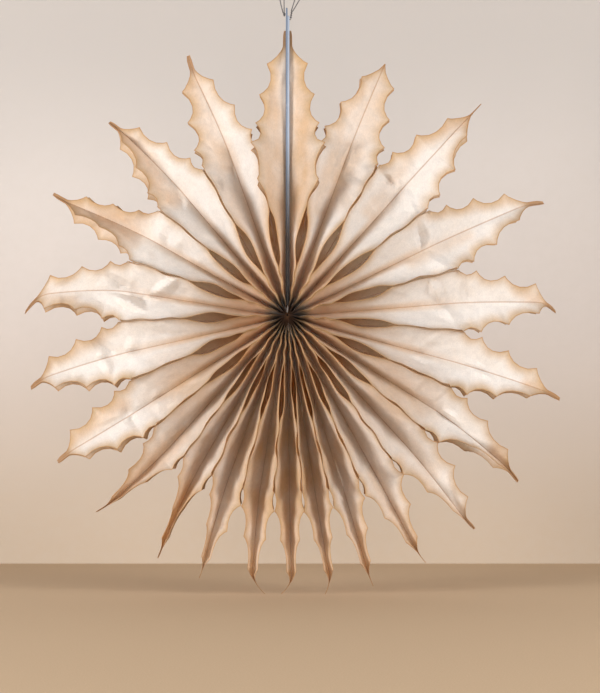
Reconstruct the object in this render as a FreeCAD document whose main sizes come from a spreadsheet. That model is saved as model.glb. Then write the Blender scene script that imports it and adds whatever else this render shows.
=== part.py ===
import FreeCAD, Part
import math
import os
import Sketcher
from collections import namedtuple

# Paper fan rosette in millimetres.
# +Z is up, +X is to the viewer's right and the front faces -Y.
# The origin is where the two hanging threads go over their hooks.
# Die-cut sheets stand round a hub. Two sheets glued along their midrib make one leaf with an X section.
# Neighbouring leaves are glued edge to edge, which makes a ridge at the front and one at the back.
# The first and the last sheet are glued to two flat bars that meet at the top.

Leaf = namedtuple("Leaf", "spacing closing reach_share")
Station = namedtuple("Station", "reach half_width back_half_width margin")
Wedge = namedtuple("Wedge", "half_angle offset closing reach_share")
Fold = namedtuple("Fold", "sine cosine")

# Driving dimensions. A reach is measured outwards along the midrib, and a width from the midrib outwards.
SIZES = {
    "paper_thickness": 0.25,
    "glue_gap": 0.1,
    "hub_clearance": 0.4,
    "hub_half_width": 33.0,
    "shoulder_length": 22.0,
    "shoulder_half_width": 38.0,
    "spot_reach": 52.0,
    "joint_half_width": 39.5,
    "lens_length": 70.0,
    "lens_depth": 19.0,
    "joint_length": 74.0,
    "middle_spine_share": 0.42,
    "middle_spine_margin": 7.0,
    "middle_notch_share": 0.66,
    "middle_notch_margin": 4.0,
    "end_spine_margin": 13.5,
    "first_bay_length": 23.0,
    "first_bay_half_width": 32.5,
    "first_spine_half_width": 36.7,
    "second_bay_length": 33.0,
    "second_bay_depth": 9.5,
    "second_spine_half_width": 29.3,
    "third_bay_length": 36.0,
    "third_bay_depth": 8.0,
    "third_spine_half_width": 20.8,
    "neck_length": 17.0,
    "neck_half_width": 6.0,
    "tail_length": 21.0,
    "tail_half_width": 0.8,
    "widest_fold_angle": 76.0,
    "spine_opening_sine": 0.12,
    "droop_angle": 5.0,
    "hub_drop": 380.0,
    "bar_thickness": 2.0,
    "bar_depth": 10.0,
    "bar_corner_radius": 1.5,
    "left_bar_overhang": 25.5,
    "right_bar_overhang": 16.5,
    "left_hole_drop": 6.2,
    "right_hole_drop": 3.6,
    "thread_diameter": 1.2,
    "hole_clearance": 0.2,
    "knot_diameter": 2.6,
    "magnet_diameter": 6.0,
    "magnet_thickness": 1.2,
    "magnet_clearance": 0.1,
    "magnet_start_share": 0.26,
    "magnet_pitch_share": 0.32,
}

# One row for each leaf, clockwise from the top: the angle on to the next leaf,
# how far its tip folds shut, and its reach as a share of the pattern's reach.
# The fan hangs under its own weight, so the lower leaves are packed closer than the upper ones.
# The crumpled leaves on the left reach less far.
LEAVES = (
    Leaf(20.25, 0.0, 1.0),
    Leaf(21.7, 0.0, 0.995),
    Leaf(21.9, 0.0, 0.99),
    Leaf(21.5, 0.0, 1.0),
    Leaf(19.8, 0.0, 1.0),
    Leaf(17.15, 0.1, 1.0),
    Leaf(15.05, 0.2, 1.0),
    Leaf(13.5, 0.35, 1.0),
    Leaf(11.25, 0.8, 1.0),
    Leaf(9.0, 0.85, 1.0),
    Leaf(8.3, 0.85, 1.0),
    Leaf(9.65, 0.85, 1.0),
    Leaf(11.0, 0.85, 1.0),
    Leaf(10.35, 0.8, 1.0),
    Leaf(11.7, 0.9, 1.0),
    Leaf(15.8, 0.5, 0.985),
    Leaf(19.6, 0.1, 0.965),
    Leaf(21.4, 0.0, 0.95),
    Leaf(20.5, 0.0, 0.945),
    Leaf(20.35, 0.0, 0.94),
    Leaf(20.7, 0.0, 0.945),
    Leaf(19.55, 0.0, 0.97),)

# The lengths that follow each other along the midrib, from the hub to the tip.
LENGTHS_TO_TIP = (
    "spot_reach",
    "lens_length",
    "joint_length",
    "first_bay_length",
    "second_bay_length",
    "third_bay_length",
    "neck_length",
    "tail_length",
)

BAY_STEPS = 3
LENS_STEPS = 4
FOLD_PASSES = 30
MAGNET_COUNT = 3
CLOCKWISE = 1
COUNTER_CLOCKWISE = -1
FRONT = -1.0
BACK = 1.0

# The threads' routes, chosen by hand, as x and z from the origin.
# Each leaves its knot, goes over the hook and returns.
LEFT_THREAD_ROUTE = (
    (-5.3, -33.4),
    (-12.6, -4.0),
    (-11.3, -0.6),
    (-8.2, 0.4),
    (-5.3, -0.9),
    (-4.2, -4.2),
    (-4.0, -33.4),
)
RIGHT_THREAD_ROUTE = (
    (4.1, -31.8),
    (12.3, -4.6),
    (13.6, -0.9),
    (17.0, 0.5),
    (20.6, -0.5),
    (22.2, -4.4),
    (5.5, -32.1),
)
LEFT_KNOT = ((-3.6, -37.0), (-4.5, -33.3))
RIGHT_KNOT = ((3.5, -39.6), (4.7, -31.9))


def make_size_sheet(doc):
    """Write every driving size and every leaf's row to the spreadsheet."""
    sheet = doc.addObject("Spreadsheet::Sheet", "Sizes")
    rows = dict(SIZES)
    for number, leaf in enumerate(LEAVES, 1):
        rows[f"leaf_{number:02d}_spacing"] = leaf.spacing
        rows[f"leaf_{number:02d}_closing"] = leaf.closing
        rows[f"leaf_{number:02d}_reach_share"] = leaf.reach_share
    for row, (alias, value) in enumerate(rows.items(), 1):
        sheet.set(f"A{row}", alias)
        sheet.set(f"B{row}", str(value))
        sheet.setAlias(f"B{row}", alias)
    doc.recompute()
    return sheet


def leaf_bearings(sheet):
    """Return each leaf's angle clockwise from the top, and half the angle on to the next leaf."""
    spacings = [sheet.get(f"leaf_{number:02d}_spacing") for number in range(1, len(LEAVES) + 1)]
    scale = 360.0 / sum(spacings)
    bearings = [scale * sum(spacings[:index]) for index in range(len(spacings))]
    return bearings, [scale * spacing / 2.0 for spacing in spacings]


def even(reach, half_width, margin=0.0):
    """Return a station whose front and back halves are equally wide."""
    return Station(reach, half_width, half_width, margin)


def bay(start, end, depth, back_depth, steps):
    """Return the stations of a concave bay, without its two ends."""
    stations = []
    for step in range(1, steps):
        share = step / steps
        dip = 4.0 * share * (1.0 - share)
        reach = start.reach + share * (end.reach - start.reach)
        chord = start.half_width + share * (end.half_width - start.half_width)
        stations.append(Station(reach, chord - depth * dip, chord - back_depth * dip, 0.0))
    return stations


def leaf_outline(sheet, inner_reach):
    """Return the stations of a sheet's outline from the hub to the tip.

    The lens-shaped cuts are in the front edge alone, because closed paper shows behind them.
    """
    joint = sheet.joint_half_width
    spot = even(sheet.spot_reach, joint)
    joint_start = even(spot.reach + sheet.lens_length, joint)
    middle_spine_reach = joint_start.reach + sheet.middle_spine_share * sheet.joint_length
    middle_notch_reach = joint_start.reach + sheet.middle_notch_share * sheet.joint_length
    joint_end = even(joint_start.reach + sheet.joint_length, joint, sheet.end_spine_margin)
    first_bay = even(joint_end.reach + sheet.first_bay_length / 2.0, sheet.first_bay_half_width)
    first_spine = even(joint_end.reach + sheet.first_bay_length, sheet.first_spine_half_width)
    second_spine = even(first_spine.reach + sheet.second_bay_length, sheet.second_spine_half_width)
    third_spine = even(second_spine.reach + sheet.third_bay_length, sheet.third_spine_half_width)
    neck = even(third_spine.reach + sheet.neck_length, sheet.neck_half_width)
    second_depth = sheet.second_bay_depth
    third_depth = sheet.third_bay_depth
    return [
        even(inner_reach, sheet.hub_half_width),
        even(inner_reach + sheet.shoulder_length, sheet.shoulder_half_width),
        spot,
        *bay(spot, joint_start, sheet.lens_depth, 0.0, LENS_STEPS),
        joint_start,
        even(middle_spine_reach, joint, sheet.middle_spine_margin),
        even(middle_notch_reach, joint, sheet.middle_notch_margin),
        joint_end,
        first_bay,
        first_spine,
        *bay(first_spine, second_spine, second_depth, second_depth, BAY_STEPS),
        second_spine,
        *bay(second_spine, third_spine, third_depth, third_depth, BAY_STEPS),
        third_spine,
        neck,
        even(neck.reach + sheet.tail_length, sheet.tail_half_width),
    ]


def outer_reaches(sheet):
    """Return the reach of the joint's end, of the first free spine and of the tip."""
    joint_end = sheet.spot_reach + sheet.lens_length + sheet.joint_length
    tip = sum(sheet.get(name) for name in LENGTHS_TO_TIP)
    return joint_end, joint_end + sheet.first_bay_length, tip


def fold_for_width(sheet, wedge, reach, half_width):
    """Return the fold at which a half-width just reaches the plane midway to the next leaf."""
    widest = math.sin(math.radians(sheet.widest_fold_angle))
    half_gap = sheet.glue_gap / 2.0 / math.cos(wedge.half_angle)
    room = wedge.reach_share * reach * math.tan(wedge.half_angle) - wedge.offset - half_gap
    cosine = 1.0
    for _ in range(FOLD_PASSES):
        sine = min(max((room - sheet.paper_thickness / cosine) / half_width, 0.0), widest)
        cosine = math.sqrt(1.0 - sine * sine)
    return sine


def fold_at(sheet, wedge, reach):
    """Return the sine and cosine of the angle between a sheet's half and the depth axis."""
    joint_end, first_spine, tip = outer_reaches(sheet)
    joint_sine = fold_for_width(sheet, wedge, min(reach, joint_end), sheet.joint_half_width)
    sine = joint_sine
    if reach > joint_end:
        widest = math.sin(math.radians(sheet.widest_fold_angle))
        touching = fold_for_width(sheet, wedge, first_spine, sheet.first_spine_half_width)
        spine_sine = min(touching, joint_sine + sheet.spine_opening_sine, widest)
        if reach < first_spine:
            share = (reach - joint_end) / (first_spine - joint_end)
            sine = joint_sine + share * (spine_sine - joint_sine)
        else:
            sine = spine_sine * (1.0 - wedge.closing * (reach - first_spine) / (tip - first_spine))
    return Fold(sine, math.sqrt(1.0 - sine * sine))


def section_points(sheet, wedge, station, side, droop):
    """Return the outer and the inner points of one cross section, from the front edge to the back edge."""
    _, first_spine, _ = outer_reaches(sheet)
    fold = fold_at(sheet, wedge, station.reach)
    drift = droop * max(station.reach - first_spine, 0.0)
    height = wedge.reach_share * station.reach
    inward = sheet.paper_thickness / fold.cosine
    outer = []
    inner = []
    for half_width, facing in ((station.half_width, FRONT), (station.back_half_width, BACK)):
        across = wedge.offset + half_width * fold.sine
        depth = half_width * fold.cosine
        edge_across = across + inward - sheet.paper_thickness if station.margin else across
        edge_depth = depth + station.margin
        outer.append([(edge_across, facing * edge_depth), (across, facing * depth)])
        inner.append([(across + inward, facing * edge_depth), (across + inward, facing * depth)])
    rows = []
    for (front, back), middle in ((outer, wedge.offset), (inner, wedge.offset + inward)):
        rows += [*front, (middle, 0.0), *reversed(back)]
    return [FreeCAD.Vector(drift + side * distance, y, height) for distance, y in rows]


def ring(points):
    """Return the points of a section in order round it, each place once."""
    count = len(points) // 2
    return [*range(count), *range(2 * count - 1, count - 1, -1)]


def paper_solid(sections):
    """Join cross sections into one closed solid of flat facets.

    Both faces of the paper are split along the same diagonals, so that they stay apart where it twists.
    """
    points = []
    index = {}

    def number(point):
        key = (round(point.x, 6), round(point.y, 6), round(point.z, 6))
        if key not in index:
            index[key] = len(points)
            points.append(point)
        return index[key]

    facets = []

    def add(a, b, c):
        if len({a, b, c}) == 3:
            facets.append((a, b, c))

    numbered = [[number(point) for point in section] for section in sections]
    order = ring(sections[0])
    half = len(order) // 2
    for near, far in zip(numbered, numbered[1:]):
        for here, there in zip(order, order[1:] + order[:1]):
            if abs(here % half - half // 2) > abs(there % half - half // 2):
                add(near[here], far[there], near[there])
                add(near[here], far[here], far[there])
            else:
                add(near[here], far[here], near[there])
                add(near[there], far[here], far[there])
    for section, turned in ((numbered[0], False), (numbered[-1], True)):
        for column in range(half - 1):
            across = column + half
            corners = [section[column], section[column + 1], section[across + 1], section[across]]
            if turned:
                corners.reverse()
            add(corners[0], corners[1], corners[2])
            add(corners[0], corners[2], corners[3])
    shell = Part.Shape()
    shell.makeShapeFromMesh((points, facets), 1e-5)
    solid = Part.makeSolid(shell)
    if solid.Volume < 0.0:
        solid.reverse()
    return solid


def inner_reach_for(sheet, half_spacing, offset):
    """Return how close to the hub's centre a sheet starts, where its wedge is just wide enough."""
    room = offset + sheet.paper_thickness + sheet.glue_gap / 2.0 / math.cos(half_spacing)
    return room / math.tan(half_spacing) + sheet.hub_clearance


def add_paper_sheet(doc, sheet, number, side, bearing, half_spacing, hub_reach):
    """Add one die-cut sheet of a leaf, folded along its midrib."""
    offset = sheet.glue_gap / 2.0
    if number == 1:
        offset += sheet.bar_thickness + sheet.glue_gap
    closing = sheet.get(f"leaf_{number:02d}_closing")
    reach_share = sheet.get(f"leaf_{number:02d}_reach_share")
    wedge = Wedge(math.radians(half_spacing), offset, closing, reach_share)
    droop = math.tan(math.radians(sheet.droop_angle)) * math.sin(math.radians(bearing))
    start = max(inner_reach_for(sheet, wedge.half_angle, offset), hub_reach) / reach_share
    stations = leaf_outline(sheet, start)
    sections = [section_points(sheet, wedge, station, side, droop) for station in stations]
    turn = "cw" if side == CLOCKWISE else "ccw"
    feature = doc.addObject("Part::Feature", f"Leaf{number:02d}{turn}")
    feature.Label = f"leaf_{number:02d}_{turn}_sheet"
    feature.Shape = paper_solid(sections)
    feature.Placement = FreeCAD.Placement(
        FreeCAD.Vector(0.0, 0.0, -sheet.hub_drop),
        FreeCAD.Rotation(FreeCAD.Vector(0.0, 1.0, 0.0), bearing),
    )
    return feature


def add_leaves(doc, sheet):
    """Add the two sheets of every leaf."""
    bearings, half_spacings = leaf_bearings(sheet)
    hub_reach = inner_reach_for(sheet, math.radians(min(half_spacings)), sheet.glue_gap / 2.0)
    features = []
    for index, bearing in enumerate(bearings):
        for side, half_spacing in (
            (COUNTER_CLOCKWISE, half_spacings[index - 1]),
            (CLOCKWISE, half_spacings[index]),
        ):
            features.append(
                add_paper_sheet(doc, sheet, index + 1, side, bearing, half_spacing, hub_reach)
            )
    return features


def plane_of(body, role):
    """Return one of a body's own origin planes."""
    return next(plane for plane in body.Origin.OriginFeatures if plane.Role == role)


def add_rectangle(sketch, expressions):
    """Draw a rectangle whose four sides are held by named distances from the sketch's origin."""
    corners = [FreeCAD.Vector(*pair, 0) for pair in ((-4, 20), (4, 20), (4, 300), (-4, 300))]
    for start, end in zip(corners, corners[1:] + corners[:1]):
        sketch.addGeometry(Part.LineSegment(start, end), False)
    for edge in range(4):
        sketch.addConstraint(Sketcher.Constraint("Coincident", edge, 2, (edge + 1) % 4, 1))
    for edge, kind in ((1, "Vertical"), (2, "Horizontal"), (3, "Vertical")):
        sketch.addConstraint(Sketcher.Constraint(kind, edge))
    sketch.addConstraint(Sketcher.Constraint("Symmetric", 0, 1, 0, 2, -2))
    distances = (
        ("width", Sketcher.Constraint("DistanceX", 0, 1, 0, 2, 8.0)),
        ("start", Sketcher.Constraint("DistanceY", -1, 1, 0, 1, 20.0)),
        ("height", Sketcher.Constraint("DistanceY", 1, 1, 1, 2, 280.0)),
    )
    for name, constraint in distances:
        number = sketch.addConstraint(constraint)
        sketch.renameConstraint(number, name)
        sketch.setExpression(f"Constraints.{name}", expressions[name])


def add_circle(sketch, diameter, height):
    """Draw a circle on the sketch's vertical axis, with its diameter and height bound to the sheet."""
    sketch.addGeometry(Part.Circle(FreeCAD.Vector(0, 100, 0), FreeCAD.Vector(0, 0, 1), 2.0), False)
    sketch.addConstraint(Sketcher.Constraint("PointOnObject", 0, 3, -2))
    distances = (
        ("diameter", Sketcher.Constraint("Diameter", 0, 4.0), diameter),
        ("height", Sketcher.Constraint("DistanceY", -1, 1, 0, 3, 100.0), height),
    )
    for name, constraint, expression in distances:
        number = sketch.addConstraint(constraint)
        sketch.renameConstraint(number, name)
        sketch.setExpression(f"Constraints.{name}", expression)


def tip_expression():
    """Return the expression of the reach of a leaf's tip."""
    return "(" + " + ".join(f"Sizes.{name}" for name in LENGTHS_TO_TIP) + ")"


def bar_expressions(side):
    """Return the expressions of a bar's foot, height and hole, measured from the hub's centre."""
    top = f"({tip_expression()} + Sizes.{side}_bar_overhang)"
    next_leaf = "leaf_01_spacing" if side == "right" else f"leaf_{len(LEAVES):02d}_spacing"
    total = " + ".join(f"Sizes.leaf_{number:02d}_spacing" for number in range(1, len(LEAVES) + 1))
    half_angle = f"(Sizes.{next_leaf} * 180 / ({total}))"
    foot = (
        f"((Sizes.bar_thickness + 2 * Sizes.glue_gap) / tan({half_angle} * 1deg) + Sizes.hub_clearance)"
    )
    return {
        "width": "Sizes.bar_depth",
        "start": foot,
        "height": f"{top} - {foot}",
        "top": top,
        "hole": f"{top} - Sizes.{side}_hole_drop",
    }


def add_bar(doc, side):
    """Add one flat closure bar, padded from its side view, with rounded ends and a thread hole."""
    expressions = bar_expressions(side)
    body = doc.addObject("PartDesign::Body", f"{side.capitalize()}Bar")
    body.Label = f"{side}_closure_bar"
    profile = body.newObject("Sketcher::SketchObject", f"{side.capitalize()}BarProfile")
    profile.AttachmentSupport = (plane_of(body, "YZ_Plane"), [""])
    profile.MapMode = "FlatFace"
    add_rectangle(profile, expressions)
    pad = body.newObject("PartDesign::Pad", f"{side.capitalize()}BarPad")
    pad.Profile = profile
    pad.setExpression("Length", "Sizes.bar_thickness")
    doc.recompute()

    corners = [
        f"Edge{number}"
        for number, edge in enumerate(pad.Shape.Edges, 1)
        if abs(edge.Vertexes[0].X - edge.Vertexes[-1].X) > 0.5
    ]
    fillet = body.newObject("PartDesign::Fillet", f"{side.capitalize()}BarEnds")
    fillet.Base = (pad, corners)
    fillet.setExpression("Radius", "Sizes.bar_corner_radius")
    doc.recompute()

    hole_sketch = body.newObject("Sketcher::SketchObject", f"{side.capitalize()}HoleProfile")
    hole_sketch.AttachmentSupport = (plane_of(body, "YZ_Plane"), [""])
    hole_sketch.MapMode = "FlatFace"
    add_circle(hole_sketch, "Sizes.thread_diameter + 2 * Sizes.hole_clearance", expressions["hole"])
    hole = body.newObject("PartDesign::Pocket", f"{side.capitalize()}ThreadHole")
    hole.Profile = hole_sketch
    hole.Type = "ThroughAll"
    hole.Reversed = True
    doc.recompute()

    shift = "Sizes.glue_gap / 2"
    if side == "left":
        shift = "-Sizes.glue_gap / 2 - Sizes.bar_thickness"
    body.setExpression(".Placement.Base.x", shift)
    body.setExpression(".Placement.Base.z", "-Sizes.hub_drop")
    return body


def magnet_height(number):
    """Return the expression of a magnet's height above the hub's centre."""
    share = f"(Sizes.magnet_start_share + {number} * Sizes.magnet_pitch_share)"
    return f"{tip_expression()} * {share}"


def add_magnet_pockets(doc, body):
    """Sink round pockets into the left bar's inner face, one for each magnet."""
    for number in range(MAGNET_COUNT):
        sketch = body.newObject("Sketcher::SketchObject", f"MagnetPocketProfile{number + 1}")
        sketch.AttachmentSupport = (plane_of(body, "YZ_Plane"), [""])
        sketch.MapMode = "FlatFace"
        sketch.setExpression(".AttachmentOffset.Base.z", "Sizes.bar_thickness")
        add_circle(
            sketch, "Sizes.magnet_diameter + 2 * Sizes.magnet_clearance", magnet_height(number)
        )
        pocket = body.newObject("PartDesign::Pocket", f"MagnetPocket{number + 1}")
        pocket.Profile = sketch
        pocket.setExpression("Length", "Sizes.magnet_thickness + Sizes.magnet_clearance")
        doc.recompute()
        if pocket.Shape.Volume >= pocket.BaseFeature.Shape.Volume:
            raise RuntimeError("a magnet pocket cut nothing")


def add_magnets(doc):
    """Add the round magnets that lie in the left bar's pockets, flush with its inner face."""
    magnets = []
    for number in range(MAGNET_COUNT):
        magnet = doc.addObject("Part::Cylinder", f"Magnet{number + 1}")
        magnet.Label = f"closure_magnet_{number + 1}"
        magnet.setExpression("Radius", "Sizes.magnet_diameter / 2")
        magnet.setExpression("Height", "Sizes.magnet_thickness")
        magnet.Placement = FreeCAD.Placement(
            FreeCAD.Vector(0.0, 0.0, 0.0), FreeCAD.Rotation(FreeCAD.Vector(0.0, 1.0, 0.0), 90.0)
        )
        magnet.setExpression(".Placement.Base.x", "-Sizes.glue_gap / 2 - Sizes.magnet_thickness")
        magnet.setExpression(".Placement.Base.z", f"{magnet_height(number)} - Sizes.hub_drop")
        magnets.append(magnet)
    return magnets


def rounded_path(points):
    """Join a route's points by straight runs and tangent arcs, and return the wire and its radii."""
    edges = []
    radii = []
    start = points[0]
    for before, corner, after in zip(points, points[1:], points[2:]):
        inward = before - corner
        outward = after - corner
        shorter = min(inward.Length, outward.Length)
        inward.normalize()
        outward.normalize()
        half_turn = (math.pi - inward.getAngle(outward)) / 2.0
        reach = 0.45 * shorter
        radius = reach / math.tan(half_turn)
        first = corner + inward * reach
        last = corner + outward * reach
        bisector = inward + outward
        bisector.normalize()
        middle = corner + bisector * (radius / math.cos(half_turn) - radius)
        edges.append(Part.LineSegment(start, first).toShape())
        edges.append(Part.Arc(first, middle, last).toShape())
        radii.append(radius)
        start = last
    edges.append(Part.LineSegment(start, points[-1]).toShape())
    return Part.Wire(edges), radii


def capsule(start, end, radius):
    """Return a round-ended bead between two points."""
    along = end - start
    body = Part.makeCylinder(radius, along.Length, start, along)
    return body.fuse([Part.makeSphere(radius, start), Part.makeSphere(radius, end)])


def add_thread(doc, sheet, side, route, knot):
    """Add a thread that is held in its bar's hole, knotted outside it, and looped over a hook."""
    radius = sheet.thread_diameter / 2.0
    points = [FreeCAD.Vector(x, 0.0, z) for x, z in route]
    path, radii = rounded_path(points)
    start = points[0]
    section = Part.Wire([Part.Circle(start, points[1] - start, radius).toShape()])
    tube = path.makePipeShell([section], True, True)
    expected = math.pi * radius**2 * path.Length
    print(f"{side} thread: {path.Length:.1f} mm, radii", " ".join(f"{value:.1f}" for value in radii))
    if abs(tube.Volume - expected) > 0.02 * expected:
        raise RuntimeError(f"the {side} thread's volume is {tube.Volume:.1f}, not {expected:.1f}")

    knot_low, knot_high = [FreeCAD.Vector(x, 0.0, z) for x, z in knot]
    _, _, tip = outer_reaches(sheet)
    overhang = sheet.get(f"{side}_bar_overhang")
    hole_height = tip + overhang - sheet.get(f"{side}_hole_drop") - sheet.hub_drop
    direction = 1.0 if side == "right" else -1.0
    inner_end = FreeCAD.Vector(direction * (sheet.glue_gap / 2.0 + sheet.hole_clearance), 0.0, hole_height)
    stub_length = knot_low.x * direction - inner_end.x * direction
    stub = Part.makeCylinder(radius, stub_length, inner_end, FreeCAD.Vector(direction, 0.0, 0.0))
    elbow = capsule(FreeCAD.Vector(knot_low.x, 0.0, hole_height), knot_low, radius)
    bead = capsule(knot_low, knot_high, sheet.knot_diameter / 2.0)
    feature = doc.addObject("Part::Feature", f"{side.capitalize()}Thread")
    feature.Label = f"{side}_hanging_thread"
    feature.Shape = tube.fuse([bead, elbow, stub]).removeSplitter()
    feature.Placement = FreeCAD.Placement()
    return feature


def check_and_write(doc, pieces):
    """Stop on any failed object or bad shape, then write each piece to its own file."""
    doc.recompute()
    failed = [item.Name for item in doc.Objects if {"Invalid", "Error"} & set(item.State)]
    if failed:
        raise RuntimeError(f"these objects failed: {failed}")
    for piece in pieces:
        if piece.Shape.isNull() or not piece.Shape.isValid():
            raise RuntimeError(f"{piece.Label} has no valid shape")
    os.makedirs("parts", exist_ok=True)
    for piece in pieces:
        piece.Shape.exportStep(os.path.join("parts", f"{piece.Label}.step"))


def main():
    """Build the rosette and write its pieces."""
    doc = FreeCAD.newDocument("PaperFanRosette")
    sheet = make_size_sheet(doc)
    pieces = add_leaves(doc, sheet)
    left_bar = add_bar(doc, "left")
    add_magnet_pockets(doc, left_bar)
    pieces += [left_bar, add_bar(doc, "right")]
    pieces += add_magnets(doc)
    pieces.append(add_thread(doc, sheet, "left", LEFT_THREAD_ROUTE, LEFT_KNOT))
    pieces.append(add_thread(doc, sheet, "right", RIGHT_THREAD_ROUTE, RIGHT_KNOT))
    check_and_write(doc, pieces)
    print(len(pieces), "pieces")


main()
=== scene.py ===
"""Paper fan rosette: dressed sheets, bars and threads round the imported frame, with its studio.

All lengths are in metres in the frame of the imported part: +Z is up, +X is to the viewer's right and
the front faces -Y. The origin is where the two hanging threads go over their hooks.
"""
import logging
import math
import random
from collections.abc import Callable
from dataclasses import dataclass, field
from enum import Enum

import bpy
import numpy as np
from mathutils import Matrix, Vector

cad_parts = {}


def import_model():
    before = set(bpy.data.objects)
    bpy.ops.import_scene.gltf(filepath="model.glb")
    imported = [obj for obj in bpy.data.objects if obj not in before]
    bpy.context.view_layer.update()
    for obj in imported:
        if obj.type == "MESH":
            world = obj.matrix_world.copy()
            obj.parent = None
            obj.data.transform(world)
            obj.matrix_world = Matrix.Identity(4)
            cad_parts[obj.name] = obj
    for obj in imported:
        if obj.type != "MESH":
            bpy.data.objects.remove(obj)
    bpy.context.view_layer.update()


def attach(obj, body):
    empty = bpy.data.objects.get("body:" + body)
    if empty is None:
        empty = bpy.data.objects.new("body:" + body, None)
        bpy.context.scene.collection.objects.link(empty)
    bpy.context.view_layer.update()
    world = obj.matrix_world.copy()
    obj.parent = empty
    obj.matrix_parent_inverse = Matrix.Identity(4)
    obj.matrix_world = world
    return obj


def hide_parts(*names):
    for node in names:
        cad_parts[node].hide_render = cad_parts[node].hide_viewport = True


LOG = logging.getLogger("rosette")

Point = tuple[float, float, float]
Colour = tuple[float, float, float]
Place = tuple[float, float]
Span = tuple[float, float]
# The sine of a sheet's fold at each of the three spines of its free part: how wide open it is.
Spines = tuple[float, float, float]
Socket = bpy.types.NodeSocket

MM = 0.001
HUB_HEIGHT = -0.380
IMAGE_WIDTH = 600
IMAGE_HEIGHT = 693
FOLD_PASSES = 12


class Side(Enum):
    """The side of its leaf that a sheet is on, seen from the front."""

    COUNTER_CLOCKWISE = -1
    CLOCKWISE = 1


class Half(Enum):
    """The half of a sheet in front of its midrib, or behind it."""

    FRONT = -1
    BACK = 1


class Tail(Enum):
    """How the thin end of a leaf's tail looks."""

    ROLLED = "rolled"
    HAIR = "hair"
    TORN = "torn"


def smooth(value: float, low: float, high: float) -> float:
    """Return 0 below low, 1 above high, and a smooth rise between."""
    share = min(max((value - low) / (high - low), 0.0), 1.0)
    return share * share * (3.0 - 2.0 * share)


def pick(*pieces: bpy.types.Object) -> None:
    """Select these pieces alone, with the first one active."""
    bpy.ops.object.select_all(action="DESELECT")
    for piece in pieces:
        piece.select_set(True)
    if pieces:
        bpy.context.view_layer.objects.active = pieces[0]


def hold(piece: bpy.types.Object) -> None:
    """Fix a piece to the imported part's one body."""
    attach(piece, "root")


@dataclass(frozen=True)
class Dent:
    """A creased dent in the paper, seen from the front.

    Attributes:
        start: one end of its crease, as x and z from the hub in millimetres.
        end: the other end of its crease.
        rise: how far its crease stands forward, in millimetres. It is negative for a valley.
        left: how far the dent reaches to the left of the crease, looking from start to end.
        right: how far the dent reaches to the right.
    """

    start: Place
    end: Place
    rise: float
    left: float
    right: float


@dataclass(frozen=True)
class DyeAndShadePatch:
    """A place where the paper is painted browner, seen from the front: dye that has run over its face, and on
    some leaves painted shade.

    Attributes:
        start: one end of its middle line, as x and z from the hub in millimetres.
        end: the other end of its middle line.
        reach: how far it spreads from the line, in millimetres.
        strength: how strong it is, up to 1.
    """

    start: Place
    end: Place
    reach: float
    strength: float


@dataclass(frozen=True)
class Lean:
    """A fold across a leaf, outside which it leans forward or back.

    Attributes:
        reach: where the fold crosses the midrib, in millimetres from the hub.
        skew: the fold's turn from square across the leaf, as across over along.
        slope: how fast the leaf goes forward outside the fold. It is negative for back.
        softness: how round the fold is, in millimetres.
        loose: the reaches between which the leaf comes free of its neighbours.
    """

    reach: float
    skew: float
    slope: float
    softness: float = 3.0
    loose: Span = (176.0, 205.0)


@dataclass(frozen=True)
class Leaf:
    """One leaf as it hangs in this rosette.

    Attributes:
        spacing: the angle on to the next leaf, in degrees.
        droop: how far its tip is turned clockwise from its midrib's bearing, in degrees.
        left: how open its counter-clockwise sheet is.
        right: how open its clockwise sheet is.
        shrink: how much shorter it stands than its pattern, from its lean and its twist.
        tip: how far its tip is from the hub, in millimetres.
        tail: how its tail ends.
        curl: how far its tail's end is bent clockwise, in millimetres.
    """

    spacing: float
    droop: float
    left: Spines
    right: Spines
    shrink: float
    tip: float
    tail: Tail = Tail.ROLLED
    curl: float = 0.0


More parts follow.
